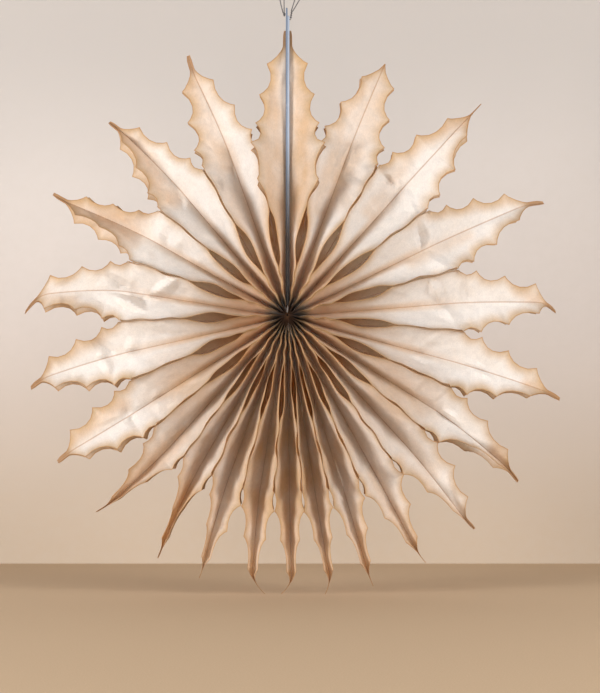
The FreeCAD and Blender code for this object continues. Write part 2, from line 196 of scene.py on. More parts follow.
LEAVES = (
    Leaf(20.25, 0.0, (0.90, 0.97, 0.98), (0.89, 0.92, 0.95), 1.0, 326.0),
    Leaf(21.7, 0.85, (0.94, 0.95, 0.84), (0.97, 0.97, 0.96), 0.995, 326.0, Tail.TORN),
    Leaf(21.9, 0.45, (0.94, 0.95, 0.72), (0.97, 0.97, 0.60), 0.992, 325.0, Tail.HAIR),
    Leaf(21.5, 0.75, (0.92, 0.98, 0.98), (0.97, 0.96, 0.65), 0.998, 325.0, curl=6.0),
    Leaf(19.8, 1.65, (0.92, 0.94, 0.98), (0.92, 0.87, 0.62), 0.995, 308.0, curl=9.0),
    Leaf(17.15, 1.35, (0.92, 0.97, 0.98), (0.86, 0.78, 0.52), 1.0, 322.0, curl=3.0),
    Leaf(15.05, 3.0, (0.81, 0.81, 0.70), (0.74, 0.28, 0.20), 1.01, 321.0, curl=2.0),
    Leaf(13.5, 1.85, (0.76, 0.90, 0.82), (0.65, 0.51, 0.22), 1.005, 322.0, curl=-3.0),
    Leaf(11.25, 0.35, (0.74, 0.58, 0.34), (0.58, 0.48, 0.28), 1.005, 322.0, Tail.HAIR, -3.0),
    Leaf(9.0, 0.6, (0.52, 0.42, 0.26), (0.44, 0.36, 0.22), 1.015, 322.0, Tail.HAIR, -2.0),
    Leaf(8.3, -0.4, (0.44, 0.33, 0.22), (0.42, 0.32, 0.2), 1.01, 319.0, Tail.HAIR, 9.0),
    Leaf(9.65, -0.4, (0.44, 0.33, 0.22), (0.44, 0.36, 0.22), 1.005, 316.0, Tail.HAIR, 13.0),
    Leaf(11.0, -1.75, (0.50, 0.40, 0.25), (0.47, 0.39, 0.22), 1.005, 316.0, Tail.HAIR, -14.0),
    Leaf(10.35, -1.65, (0.62, 0.53, 0.28), (0.36, 0.24, 0.15), 1.0, 314.0, Tail.HAIR, 2.0),
    Leaf(11.7, -2.2, (0.40, 0.12, 0.10), (0.40, 0.16, 0.12), 1.0, 312.0, curl=1.0),
    Leaf(15.8, 1.8, (0.55, 0.30, 0.12), (0.60, 0.42, 0.15), 0.985, 310.0, curl=2.0),
    Leaf(19.6, 0.2, (0.80, 0.84, 0.66), (0.84, 0.96, 0.97), 0.963, 308.0, curl=-3.0),
    Leaf(21.4, -2.1, (0.88, 0.86, 0.70), (0.89, 0.95, 0.96), 0.950, 301.0, curl=-5.0),
    Leaf(20.5, -5.1, (0.88, 0.72, 0.80), (0.84, 0.88, 0.97), 0.945, 293.0, curl=-13.0),
    Leaf(20.35, -1.7, (0.62, 0.42, 0.50), (0.60, 0.56, 0.62), 0.943, 310.0, curl=3.0),
    Leaf(20.7, -1.85, (0.80, 0.62, 0.40), (0.85, 0.84, 0.76), 0.95, 303.0, curl=-1.0),
    Leaf(19.55, -1.95, (0.95, 0.98, 0.96), (0.88, 0.85, 0.76), 0.97, 316.0, curl=4.0),
)

# The folds across single leaves, by the leaf's number.
LEANS = {
    2: Lean(178, 0.5, -0.10),
    3: Lean(160, -0.4, 0.10),
    4: Lean(176, 0.35, -0.24),
    5: Lean(183, -0.2, -0.16),
    6: Lean(215, 0.4, 0.14),
    7: Lean(190, 0.5, 0.08),
    16: Lean(196, -0.5, 0.08),
    17: Lean(200, 0.5, 0.12),
    18: Lean(206, -0.3, 0.14),
    19: Lean(205, 0.2, 0.18),
    20: Lean(170, -0.35, -0.34),
    21: Lean(190, -0.4, -0.10),
    22: Lean(182, 0.3, 0.08),
}

# How much wider the back half of a sheet stands than its front half, as a sine, where it shows.
BACK_SPREADS = {
    (2, Side.COUNTER_CLOCKWISE): 0.08,
    (3, Side.CLOCKWISE): 0.16,
    (6, Side.CLOCKWISE): 0.08,
    (7, Side.CLOCKWISE): 0.22,
    (17, Side.COUNTER_CLOCKWISE): 0.17,
    (18, Side.COUNTER_CLOCKWISE): 0.17,
    (19, Side.COUNTER_CLOCKWISE): 0.16,
    (20, Side.COUNTER_CLOCKWISE): 0.38,
    (20, Side.CLOCKWISE): 0.10,
    (21, Side.COUNTER_CLOCKWISE): 0.30,
    (22, Side.COUNTER_CLOCKWISE): 0.05,
}

# The sine of the lean of a glued margin that is pressed flat on a neighbouring leaf.
PRESSED_MARGINS = {
    (1, Side.COUNTER_CLOCKWISE): -0.86,
    (22, Side.CLOCKWISE): 0.93,
    (1, Side.CLOCKWISE): -0.80,
    (2, Side.COUNTER_CLOCKWISE): 0.90,
}

DENTS = (
    Dent((-64, 173), (-57, 158), -6.3, 5.4, 6.3),
    Dent((-88, 160), (-74, 142), -7.3, 8.1, 10.8),
    Dent((-126, 146), (-118, 120), -5.3, 7.2, 14.4),
    Dent((-132, 92), (-122, 72), 6.3, 9, 10.8),
    Dent((-150, 104), (-112, 64), -6.3, 12.6, 8.1),
    Dent((-204, 46), (-168, 20), -9.5, 9, 10.8),
    Dent((-158, 22), (-122, 42), 10.5, 9, 11.7),
    Dent((-198, 24), (-160, 6), 9.5, 10.8, 8.1),
    Dent((-176, 38), (-160, 8), -8.4, 10.8, 10.8),
    Dent((-222, -26), (-196, -44), -8.4, 9, 8.1),
    Dent((-212, -36), (-202, -66), 6.3, 9.9, 9.9),
    Dent((-178, -24), (-176, -54), 5.3, 12.6, 10.8),
    Dent((-186, -104), (-172, -126), -6.3, 8.1, 10.8),
    Dent((-150, -84), (-144, -112), 5.3, 11.7, 10.8),
    Dent((72, 194), (56, 160), 4.6, 10.8, 8.1),
    Dent((60, 170), (92, 148), -3.8, 12.6, 10.8),
    Dent((108, 160), (122, 150), -7.3, 5.4, 6.3),
    Dent((124, 156), (146, 116), 6.3, 8.1, 11.7),
    Dent((146, 108), (154, 72), -9.5, 12.6, 6.3),
    Dent((154, 72), (184, 52), 5.3, 10.8, 14.4),
    Dent((160, 40), (172, 18), 9.5, 10.8, 6.3),
    Dent((172, 18), (190, -6), 6.3, 13.5, 10.8),
    Dent((198, 38), (212, 12), -4.6, 10.8, 8.1),
    Dent((150, -26), (152, -54), 4.2, 10.8, 10.8),
    Dent((204, -52), (232, -70), 6.3, 8.1, 8.1),
    Dent((176, -106), (196, -124), 7.3, 8.1, 8.1),
    Dent((142, -92), (158, -112), -4.2, 11.7, 9),
    Dent((52, -160), (66, -196), -5.3, 9, 8.1),
    Dent((-38, -150), (-44, -200), -4.2, 9, 9),
)

# Some patches are dye that has run over the face; the others are painted shade.
DYE_AND_SHADE_PATCHES = (
    DyeAndShadePatch((-265, 141), (-182, 105), 25, 0.75),
    DyeAndShadePatch((-189, 210), (-136, 135), 17, 0.62),
    DyeAndShadePatch((-109, 264), (-71, 173), 16, 0.6),
    DyeAndShadePatch((-88, 190), (-48, 93), 11, 0.45),
    # Painted shade: these two darken leaf 1, which is turned from the lamps.
    DyeAndShadePatch((-22, 298), (-13, 93), 19, 0.7),
    DyeAndShadePatch((17, 298), (14, 110), 19, 0.85),
    DyeAndShadePatch((58, 144), (103, 258), 27, 0.5),
    DyeAndShadePatch((34, 120), (62, 216), 12, 0.5),
    DyeAndShadePatch((92, 120), (150, 196), 10, 0.35),
    DyeAndShadePatch((140, 62), (206, 94), 9, 0.35),
    DyeAndShadePatch((-200, -209), (-116, -132), 17, 0.62),
    DyeAndShadePatch((-142, -264), (-86, -141), 17, 0.8),
    DyeAndShadePatch((-95, -268), (-72, -175), 10, 0.5),
    DyeAndShadePatch((-257, -150), (-189, -97), 13, 0.6),
    DyeAndShadePatch((-282, -64), (-211, -20), 11, 0.36),
    DyeAndShadePatch((105, 178), (199, 222), 11, 0.5),
    DyeAndShadePatch((66, 233), (110, 274), 10, 0.45),
    DyeAndShadePatch((162, 117), (279, 142), 10, 0.42),
    DyeAndShadePatch((265, 30), (307, 12), 10, 0.5),
    DyeAndShadePatch((274, -77), (308, -92), 10, 0.75),
    DyeAndShadePatch((235, -154), (262, -185), 10, 0.75),
    DyeAndShadePatch((128, -164), (188, -226), 13, 0.5),
    DyeAndShadePatch((94, -175), (148, -263), 13, 0.55),
    DyeAndShadePatch((71, -186), (92, -287), 11, 0.55),
    DyeAndShadePatch((43, -198), (46, -291), 10, 0.6),
    DyeAndShadePatch((11, -198), (9, -295), 10, 0.6),
    DyeAndShadePatch((-39, -209), (-40, -298), 10, 0.5),
    DyeAndShadePatch((-290, 21), (-242, 19), 10, 0.45),
    DyeAndShadePatch((96, -95), (162, -175), 14, 0.35),
    DyeAndShadePatch((-111, -141), (-43, -38), 18, 0.4),
    # Painted shade: these three lay tan over the lower pleats and the flanks beside the hub.
    DyeAndShadePatch((-1, -15), (-1, -186), 108, 0.95),
    DyeAndShadePatch((14, -10), (128, -95), 51, 0.6),
    DyeAndShadePatch((-14, -10), (-111, -84), 51, 0.6),
)


@dataclass(frozen=True)
class SheetPattern:
    """The die-cut outline of one sheet, in millimetres along and across its midrib."""

    thickness: float = 0.22
    spot_reach: float = 52.0
    lens_end: float = 122.0
    joint_end: float = 196.0
    joint_half_width: float = 39.5
    shoulder_length: float = 22.0
    shoulder_half_width: float = 38.0
    shoulder_bulge: float = 0.6
    hub_half_width: float = 33.0
    lens_depth: float = 12.5
    first_spine: float = 219.0
    second_spine: float = 252.0
    third_spine: float = 288.0
    tip: float = 326.0
    inner_pitch: float = 3.6
    outer_pitch: float = 1.9
    widths: tuple[Place, ...] = (
        (122.0, 40.5), (138.0, 44.5), (153.0, 48.5), (158.0, 44.5), (170.0, 42.0),
        (182.0, 43.5), (190.0, 46.0), (195.0, 49.5), (197.0, 44.0), (200.0, 37.5),
        (207.0, 33.2), (213.0, 34.0), (219.0, 38.2), (222.0, 33.0), (228.0, 27.5),
        (235.0, 25.3), (243.0, 26.2), (252.0, 31.0), (255.0, 26.2), (261.0, 20.6),
        (269.0, 17.6), (278.0, 17.6), (288.0, 21.8), (291.0, 16.6), (297.0, 10.0),
    )
    tails: tuple[tuple[Tail, tuple[Place, ...]], ...] = (
        (Tail.ROLLED, ((303.0, 5.4), (308.0, 3.1), (320.0, 2.9), (326.0, 1.9))),
        (Tail.HAIR, ((303.0, 4.6), (308.0, 1.5), (314.0, 0.6), (326.0, 0.4))),
        (Tail.TORN, ((303.0, 4.6), (309.0, 1.6), (311.0, 0.8), (312.0, 0.6))),
    )

    def outline(self, tail: Tail) -> list[Place]:
        """Return the reaches and half-widths from the lens-shaped cut to the end of a kind of tail."""
        return [*self.widths, *dict(self.tails)[tail]]

    def half_width(self, reach: float, start: float, half: Half, tail: Tail) -> float:
        """Return how wide one half of the sheet is.

        Args:
            reach: the distance from the hub along the midrib.
            start: the reach at which the sheet starts.
            half: the front or the back half, because only the front one has the lens-shaped cut.
            tail: how the leaf's tail ends.

        Returns:
            The half-width in millimetres.
        """
        shoulder = start + self.shoulder_length
        if reach <= shoulder:
            share = (reach - start) / self.shoulder_length
            return self.hub_half_width + share * (self.shoulder_half_width - self.hub_half_width)
        if reach <= self.spot_reach:
            share = (reach - shoulder) / (self.spot_reach - shoulder)
            straight = self.shoulder_half_width + share * (self.joint_half_width - self.shoulder_half_width)
            return straight + self.shoulder_bulge * math.sin(math.pi * share)
        if reach <= self.lens_end:
            share = (reach - self.spot_reach) / (self.lens_end - self.spot_reach)
            if half is Half.BACK:
                return self.joint_half_width
            return self.joint_half_width - self.lens_depth * math.sin(math.pi * share) ** 1.25
        outline = self.outline(tail)
        return float(np.interp(reach, [row[0] for row in outline], [row[1] for row in outline]))

    def rows(self, start: float, tail: Tail) -> list[float]:
        """Return the reaches of the mesh's rows, close enough for every spine and notch.

        Args:
            start: the reach at which the sheet starts.
            tail: how the leaf's tail ends.

        Returns:
            The reaches in millimetres, from the hub to the tip.
        """
        marks = [start, start + self.shoulder_length, self.spot_reach]
        marks += [row[0] for row in self.outline(tail)]
        rows = []
        for near, far in zip(marks, marks[1:]):
            pitch = self.inner_pitch if far <= self.lens_end else self.outer_pitch
            count = max(1, round((far - near) / pitch))
            rows += [near + (far - near) * step / count for step in range(count)]
        return rows + [marks[-1]]


@dataclass
class PaperSheet:
    """One die-cut sheet of a leaf, folded along its midrib and glued to its neighbours.

    Attributes:
        number: the leaf's number, clockwise from the top.
        leaf: the leaf as it hangs.
        side: the side of the leaf that the sheet is on.
        bearing: the leaf's angle clockwise from the top, in degrees.
        half_spacing: half the angle to the neighbouring leaf on that side, in radians.
        offset: the distance from the leaf's middle plane to the sheet, in millimetres.
        pattern: the die-cut outline.
        columns: how many columns of the mesh each half has.
        deepest: how far forward or back the paper may come, in millimetres.
        start: the reach at which the sheet starts, in millimetres.
        bar_end: how close to the hub the bars come, in millimetres.
        glue_gap: the gap for glue between two sheets, in millimetres.
        widest: the largest sine of the fold at the glue line.
        back_to_back: how much nearer the leaf's middle the sheet stands than its gap, in millimetres.
        bow: how far a half bows sideways, as a share of its width.
        back_rise: how far the back's glued edge stands off, in millimetres.
        depth_softness: how gently the paper is held inside its depth, in millimetres.
        crowding: the power that crowds the columns towards the cut edges.
        crease_angle: the angle up to which faces look smooth, in radians.
        spread_reaches: the reaches between which the back half parts from the front half.
        fold_sines: the smallest and the largest sine of the free part's fold.
    """

    number: int
    leaf: Leaf
    side: Side
    bearing: float
    half_spacing: float
    offset: float
    pattern: SheetPattern = field(default_factory=SheetPattern)
    columns: int = 14
    deepest: float = 50.2
    start: float = 1.2
    bar_end: float = 18.5
    glue_gap: float = 0.1
    widest: float = 0.97
    back_to_back: float = 0.03
    bow: float = 0.05
    back_rise: float = 0.08
    depth_softness: float = 6.0
    crowding: float = 1.25
    crease_angle: float = math.radians(12.0)
    spread_reaches: Span = (200.0, 250.0)
    fold_sines: Span = (0.05, 0.985)

    @property
    def name(self) -> str:
        """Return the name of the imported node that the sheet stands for."""
        turn = "cw" if self.side is Side.CLOCKWISE else "ccw"
        return f"leaf_{self.number:02d}_{turn}_sheet"

    def offset_at(self, reach: float) -> float:
        """Return the sheet's distance from its leaf's middle plane, pinched together inside the bars."""
        pinched = min(self.offset, self.glue_gap / 2.0)
        return pinched + (self.offset - pinched) * smooth(reach, 5.0, self.bar_end)

    def pinch_at(self, reach: float, share: float) -> float:
        """Return how far the back half is pressed against its leaf's other sheet behind the bars' ends."""
        middle = smooth(share, 0.14, 0.35) * (1.0 - smooth(share, 0.45, 0.8))
        return self.offset_at(reach) * middle * (1.0 - smooth(reach, 27.0, 33.0))

    def glued_sine(self, reach: float) -> float:
        """Return the sine of the fold at which the glue line lies midway to the next leaf.

        Args:
            reach: the distance from the hub along the midrib, in millimetres.

        Returns:
            The sine, 0 for a shut fold.
        """
        reach = min(reach, self.pattern.joint_end)
        room = reach * self.leaf.shrink * math.tan(self.half_spacing) - self.offset_at(reach)
        room -= self.glue_gap / 2.0 / math.cos(self.half_spacing)
        cosine = 1.0
        sine = 0.0
        for _ in range(FOLD_PASSES):
            sine = (room - self.pattern.thickness / cosine) / self.pattern.joint_half_width
            sine = min(max(sine, 0.0), self.widest)
            cosine = math.sqrt(1.0 - sine * sine)
        return sine

    def fold_sine(self, reach: float, half: Half) -> float:
        """Return the sine of the fold at a reach.

        Args:
            reach: the distance from the hub along the midrib.
            half: the front or the back half.

        Returns:
            The sine of the angle between the half and the depth axis.
        """
        pattern = self.pattern
        glued = self.glued_sine(reach)
        if reach <= pattern.joint_end:
            return glued
        spines = self.leaf.right if self.side is Side.CLOCKWISE else self.leaf.left
        marks = (
            pattern.joint_end, pattern.first_spine, pattern.second_spine, pattern.third_spine, pattern.tip
        )
        spread = 0.0 if half is Half.FRONT else self.back_spread * smooth(reach, *self.spread_reaches)
        least, most = self.fold_sines
        return min(max(float(np.interp(reach, marks, (glued, *spines, spines[-1]))) + spread, least), most)

    @property
    def back_spread(self) -> float:
        """Return how much wider the back half stands than the front one, as a sine."""
        chance = random.Random(self.number * 7 + self.side.value).uniform(-0.12, 0.02)
        return BACK_SPREADS.get((self.number, self.side), chance)

    def seen_reach(self, reach: float) -> float:
        """Return how far from the hub a place on the pattern stands, in millimetres.

        Args:
            reach: the distance from the hub along the midrib, in millimetres.

        Returns:
            The distance as it hangs, with the leaf's shrink and its own tip.
        """
        third = self.pattern.third_spine
        if reach <= third:
            return reach * self.leaf.shrink
        share = (reach - third) / (self.pattern.tip - third)
        return third * self.leaf.shrink + share * (self.leaf.tip - third * self.leaf.shrink)

    def drift(self, reach: float) -> float:
        """Return how far the leaf is bent sideways, clockwise, in millimetres.

        Args:
            reach: the distance from the hub along the midrib, in millimetres.

        Returns:
            The sum of its droop and its tail's curl.
        """
        pattern = self.pattern
        free = max(reach - pattern.joint_end, 0.0) / (pattern.tip - pattern.joint_end)
        sideways = pattern.tip * math.tan(math.radians(self.leaf.droop)) * free**1.5
        tail = max(reach - pattern.third_spine - 6.0, 0.0) / (pattern.tip - pattern.third_spine - 6.0)
        return sideways + self.leaf.curl * tail**2

    def lean(self, reach: float, across: float) -> float:
        """Return how far the leaf leans forward at a place, in millimetres.

        Args:
            reach: the distance from the hub along the midrib, in millimetres.
            across: the distance from the midrib, in millimetres.

        Returns:
            The lean, 0 on a leaf without a fold across it.
        """
        lean = LEANS.get(self.number)
        if lean is None:
            return 0.0
        beyond = reach - lean.reach - lean.skew * across
        rounded = (math.sqrt(beyond * beyond + lean.softness**2) + beyond) / 2.0
        return lean.slope * rounded * smooth(reach, *lean.loose)

    def build(self) -> bpy.types.Object:
        """Build the sheet: a grid whose rows follow the outline, crumpled, then given its thickness.

        Returns:
            The sheet's object, at the origin.
        """
        pattern = self.pattern
        rows = pattern.rows(self.start, self.leaf.tail)
        across = self.across_shares()
        flat, points, shares = self.lay_out(rows, across)
        Crumple(self).apply(points, flat, shares)
        points[:, 1] = self.within_depth(points[:, 1])
        mesh = bpy.data.meshes.new(self.name + "_paper")
        wide = len(across)
        faces = []
        for row in range(len(rows) - 1):
            for column in range(wide - 1):
                a = row * wide + column
                corners = (a, a + 1, a + wide + 1, a + wide)
                faces.append(corners if self.side is Side.CLOCKWISE else corners[::-1])
        mesh.from_pydata([tuple(point) for point in points * MM], [], faces)
        self.add_attributes(mesh, flat, points, rows)
        sheet = bpy.data.objects.new(self.name + "_paper", mesh)
        bpy.context.scene.collection.objects.link(sheet)
        self.thicken(sheet)
        return sheet

    def within_depth(self, depths: np.ndarray) -> np.ndarray:
        """Return the depths held softly inside the rosette's greatest depth.

        Args:
            depths: each point's depth in millimetres, negative in front.

        Returns:
            The depths, only changed near the greatest one.
        """
        soft = self.depth_softness
        beyond = np.maximum(np.abs(depths) - (self.deepest - soft), 0.0)
        held = np.minimum(np.abs(depths), self.deepest - soft) + soft * np.tanh(beyond / soft)
        return np.sign(depths) * held

    def across_shares(self) -> list[float]:
        """Return the mesh's columns as shares of the half-width, negative in front of the midrib.

        Returns:
            The shares from -1 to 1, closer together towards the cut edges.
        """
        steps = range(self.columns + 1)
        shares = [1.0 - (1.0 - step / self.columns) ** self.crowding for step in steps]
        return [-share for share in reversed(shares[1:])] + shares

    def lay_out(self, rows: list[float], across: list[float]) -> tuple[np.ndarray, np.ndarray, np.ndarray]:
        """Place every point of the folded sheet.

        Args:
            rows: the reaches of the rows.
            across: the columns, as shares of the half-width.

        Returns:
            The flat pattern's points, the folded points in millimetres from the origin, and each
            point's share of the way from the midrib to the glue line.
        """
        pattern = self.pattern
        bearing = math.radians(self.bearing)
        along_axis = np.array((math.sin(bearing), 0.0, math.cos(bearing)))
        across_axis = np.array((math.cos(bearing), 0.0, -math.sin(bearing)))
        hub = np.array((0.0, 0.0, HUB_HEIGHT / MM))
        flare = self.flare_waves()
        curl = self.lens_waves()
        wave = self.joint_waves()
        flat = []
        points = []
        shares = []
        for reach in rows:
            for share in across:
                half = Half.FRONT if share < 0.0 else Half.BACK
                width = abs(share) * pattern.half_width(reach, self.start, half, self.leaf.tail)
                sine = self.fold_sine(reach, half)
                cosine = math.sqrt(1.0 - sine * sine)
                inner = min(width, pattern.joint_half_width)
                sideways = self.offset_at(reach) + 0.5 * pattern.thickness + inner * sine - self.back_to_back
                depth = inner * cosine
                margin = width - inner
                if margin > 0.0:
                    opening = flare(reach, half)
                    sideways -= margin * opening
                    depth += margin * math.sqrt(1.0 - opening * opening)
                bow = self.bow * inner * (1.0 - inner / pattern.joint_half_width) * smooth(reach, 40.0, 120.0)
                sideways += bow * cosine
                if half is Half.FRONT:
                    sideways += (wave(reach) - curl(reach)) * abs(share) ** 3
                elif reach < pattern.joint_end:
                    sideways += self.back_rise * abs(share) ** 3 - self.pinch_at(reach, abs(share))
                depth = (depth - bow * sine) * half.value
                sideways *= self.side.value
                depth -= self.lean(reach, sideways)
                point = hub + along_axis * self.seen_reach(reach)
                point += across_axis * (sideways + self.drift(reach))
                point[1] = depth
                flat.append((reach, math.copysign(width, share)))
                points.append(point)
                shares.append(inner / pattern.joint_half_width)
        return np.array(flat), np.array(points), np.array(shares)

    def flare_waves(self) -> Callable[[float, Half], float]:
        """Return how the loose margin beyond the glue line leans away from its neighbour.

        Returns:
            A function from a reach and a half to the sine of the margin's lean.
        """
        draw = random.Random(self.number * 31 + self.side.value * 5)
        phase = draw.uniform(0.0, 6.0)
        push = draw.uniform(0.04, 0.22)
        pressed = PRESSED_MARGINS.get((self.number, self.side))

        def flare(reach: float, half: Half) -> float:
            """Return the sine of the margin's lean towards its own leaf.

            Args:
                reach: the distance from the hub along the midrib, in millimetres.
                half: the front or the back half.

            Returns:
                The sine, negative on a margin pressed on its neighbour.
            """
            wave = 0.06 * math.sin(reach / 7.0 + phase + half.value)
            if pressed is not None and half is Half.FRONT:
                return pressed * smooth(reach, 118.0, 150.0) + wave * 0.5
            return max(push + wave, 0.0)

        return flare

    def lens_waves(self) -> Callable[[float], float]:
        """Return how far the front edge of the lens-shaped cut curls towards its own leaf.

        Returns:
            A function from a reach to the curl in millimetres.
        """
        draw = random.Random(self.number * 17 + self.side.value * 3)
        phase = draw.uniform(0.0, 6.0)
        height = draw.uniform(0.3, 1.1)
        length = draw.uniform(6.0, 10.0)

        def curl(reach: float) -> float:
            """Return the curl in millimetres."""
            loose = smooth(reach, 54.0, 66.0) * (1.0 - smooth(reach, 108.0, 122.0))
            return loose * height * (1.0 + math.sin(reach / length + phase))

        return curl

    def joint_waves(self) -> Callable[[float], float]:
        """Return how far the front edge waves towards its neighbour, whose edge waves with it.

        Returns:
            A function from a reach to the shift in millimetres.
        """
        joint = self.number % len(LEAVES) if self.side is Side.CLOCKWISE else self.number - 1
        draw = random.Random(joint * 23 + 5)
        phase = draw.uniform(0.0, 6.0)
        inner_length = draw.uniform(2.6, 4.2)
        outer_length = draw.uniform(5.5, 9.0)
        height = draw.uniform(0.7, 1.5)

        def wave(reach: float) -> float:
            """Return the shift towards the neighbour in millimetres.

            Args:
                reach: the distance from the hub along the midrib, in millimetres.

            Returns:
                The shift, held back near the hub by the room between the leaves.
            """
            room = self.glued_sine(reach) * self.pattern.joint_half_width
            near = min(height, 0.45 * room) * (1.0 - smooth(reach, 44.0, 60.0))
            far = 0.9 * height * smooth(reach, 118.0, 140.0) * (1.0 - smooth(reach, 182.0, 196.0))
            shift = near * math.sin(reach / inner_length + phase)
            shift += far * math.sin(reach / outer_length + phase)
            return shift * self.side.value

        return wave

    def add_attributes(
        self, mesh: bpy.types.Mesh, flat: np.ndarray, points: np.ndarray, rows: list[float]
    ) -> None:
        """Store how far each point is from the cut edge, from the hub and across the sheet, and its patches
        of dye and painted shade.

        Args:
            mesh: the sheet's mesh.
            flat: the flat pattern's points.
            points: the folded points.
            rows: the reaches of the rows.
        """
        pattern = self.pattern
        edge = np.full(len(flat), 1e3)
        for half in Half:
            widths = [pattern.half_width(reach, self.start, half, self.leaf.tail) for reach in rows]
            line = np.column_stack((rows, np.array(widths) * half.value))
            edge = np.minimum(edge, distance_to_line(flat, line))
        values = {
            "edge_distance": edge * MM,
            "reach": flat[:, 0] * MM,
            "across": flat[:, 1] * MM,
            "tea_and_shade": dye_and_shade_patches(points),
        }
        for name, column in values.items():
            attribute = mesh.attributes.new(name, "FLOAT", "POINT")
            attribute.data.foreach_set("value", column.astype(np.float32))

    def thicken(self, sheet: bpy.types.Object) -> None:
        """Give the sheet its paper's thickness and smooth its faces.

        Args:
            sheet: the folded grid, changed in place.
        """
        pick(sheet)
        solid = sheet.modifiers.new("PaperThickness", "SOLIDIFY")
        solid.thickness = self.pattern.thickness * MM
        solid.offset = 0.0
        solid.use_even_offset = False
        bpy.ops.object.modifier_apply(modifier=solid.name)
        bpy.ops.object.shade_smooth_by_angle(angle=self.crease_angle)
        sheet.select_set(False)


def dye_and_shade_patches(points: np.ndarray) -> np.ndarray:
    """Return how strongly the patches of run dye and painted shade colour each point, from 0 to 1.

    Args:
        points: the folded points, in millimetres from the origin.

    Returns:
        The strength at each point.
    """
    seen = np.column_stack((points[:, 0], points[:, 2] - HUB_HEIGHT / MM))
    total = np.zeros(len(points))
    for patch in DYE_AND_SHADE_PATCHES:
        away = distance_to_line(seen, np.array((patch.start, patch.end), dtype=float)) / patch.reach
        total = np.maximum(total, patch.strength * np.clip(1.25 - away, 0.0, 1.0))
    return total


def distance_to_line(points: np.ndarray, line: np.ndarray) -> np.ndarray:
    """Return each flat point's distance from a polyline.

    Args:
        points: the points, one row each.
        line: the polyline's corners, one row each.

    Returns:
        The distances.
    """
    start, step = line[:-1], line[1:] - line[:-1]
    length = np.maximum((step**2).sum(1), 1e-12)
    share = ((points[:, None, :] - start[None]) * step[None]).sum(2) / length[None]
    nearest = start[None] + np.clip(share, 0.0, 1.0)[..., None] * step[None]
    return np.sqrt(((points[:, None, :] - nearest) ** 2).sum(2)).min(1)


class Crumple:
    """The creases and dents that handling left in one sheet, with all lengths in millimetres.

    Attributes:
        creases: how many small creases the sheet has.
        crease_reaches: the reaches between which their middles lie.
        crease_lengths: how short and how long they are.
        crease_rises: how low and how high they stand.
        crease_widths: how far they reach to either side.
        farthest_across: how far from the midrib their middles may lie.
        wave_lengths: how short and how long the waves of the free edges are.
        wave_heights: how low and how high those waves are, 30 millimetres from the midrib.
        free_from: the reach from which the leaf is free of its neighbours.
        freed_within: how far beyond that reach it is quite free.
        calm_hub: the reach up to which there are no small creases.
        calmed_within: how far beyond that reach they have their full height.
        joint_grip: how steeply the glue line keeps the paper still.
        midrib_grip: how steeply the midrib keeps the paper still.
        least_give: the least share of a crease that shows on the front of a free end.
    """

    creases: int = 30
    crease_reaches: Span = (110.0, 300.0)
    crease_lengths: Span = (16.0, 48.0)
    crease_rises: Span = (0.4, 2.0)
    crease_widths: Span = (4.0, 13.0)
    farthest_across: float = 36.0
    wave_lengths: Span = (11.0, 17.0)
    wave_heights: Span = (0.5, 1.3)
    free_from: float = 192.0
    freed_within: float = 14.0
    calm_hub: float = 60.0
    calmed_within: float = 70.0
    joint_grip: float = 4.5
    midrib_grip: float = 7.0
    least_give: float = 0.25

    def __init__(self, sheet: PaperSheet) -> None:
        """Keep the sheet and its own seeded random numbers."""
        self.sheet = sheet
        self.draw = random.Random(900 + sheet.number * 2 + (sheet.side.value + 1) // 2)

    def apply(self, points: np.ndarray, flat: np.ndarray, shares: np.ndarray) -> None:
        """Move the sheet's points forward and back by its dents, its small creases and its edge waves.

        Args:
            points: the folded points, changed in place.
            flat: the flat pattern's points.
            shares: each point's share of the way from the midrib to the glue line.
        """
        reach = flat[:, 0]
        free = np.clip((reach - self.free_from) / self.freed_within, 0.0, 1.0)
        at_joint = np.clip((1.0 - shares) * self.joint_grip, 0.0, 1.0)
        give = np.clip(shares * self.midrib_grip, 0.0, 1.0) * (free + (1.0 - free) * at_joint)
        outside = np.clip((reach - self.calm_hub) / self.calmed_within, 0.0, 1.0)
        front = flat[:, 1] < 0.0
        forward = self.hand_dents(points) * front
        forward += self.small_creases(flat) * outside
        forward += self.edge_waves(flat) * free
        points[:, 1] -= forward * np.maximum(give, self.least_give * front * free)

    def hand_dents(self, points: np.ndarray) -> np.ndarray:
        """Return how far forward the listed dents push each point, in millimetres.

        Args:
            points: the folded points, in millimetres from the origin.

        Returns:
            The push at each point.
        """
        seen = np.column_stack((points[:, 0], points[:, 2] - HUB_HEIGHT / MM))
        total = np.zeros(len(points))
        for dent in DENTS:
            total += tent(seen, dent.start, dent.end, dent.rise, dent.left, dent.right)
        return total

    def small_creases(self, flat: np.ndarray) -> np.ndarray:
        """Return how far forward the sheet's many small creases push each point, in millimetres.

        Args:
            flat: the flat pattern's points.

        Returns:
            The push at each point.
        """
        total = np.zeros(len(flat))
        for _ in range(self.creases):
            reach = self.draw.uniform(*self.crease_reaches)
            across = self.draw.uniform(-self.farthest_across, self.farthest_across)
            angle = self.draw.uniform(0.0, math.pi)
            length = self.draw.uniform(*self.crease_lengths)
            step = (math.cos(angle) * length / 2.0, math.sin(angle) * length / 2.0)
            rise = self.draw.choice((-1.0, 1.0)) * self.draw.uniform(*self.crease_rises)
            total += tent(
                flat,
                (reach - step[0], across - step[1]),
                (reach + step[0], across + step[1]),
                rise,
                self.draw.uniform(*self.crease_widths),
                self.draw.uniform(*self.crease_widths),
            )
        return total

    def edge_waves(self, flat: np.ndarray) -> np.ndarray:
        """Return how far forward the free edges wave, in millimetres.

        Args:
            flat: the flat pattern's points.

        Returns:
            The wave at each point, 0 along the midrib.
        """
        phase = self.draw.uniform(0.0, 6.28)
        length = self.draw.uniform(*self.wave_lengths)
        height = self.draw.uniform(*self.wave_heights)
        return height * np.sin(flat[:, 0] / length + phase) * np.abs(flat[:, 1]) / 30.0


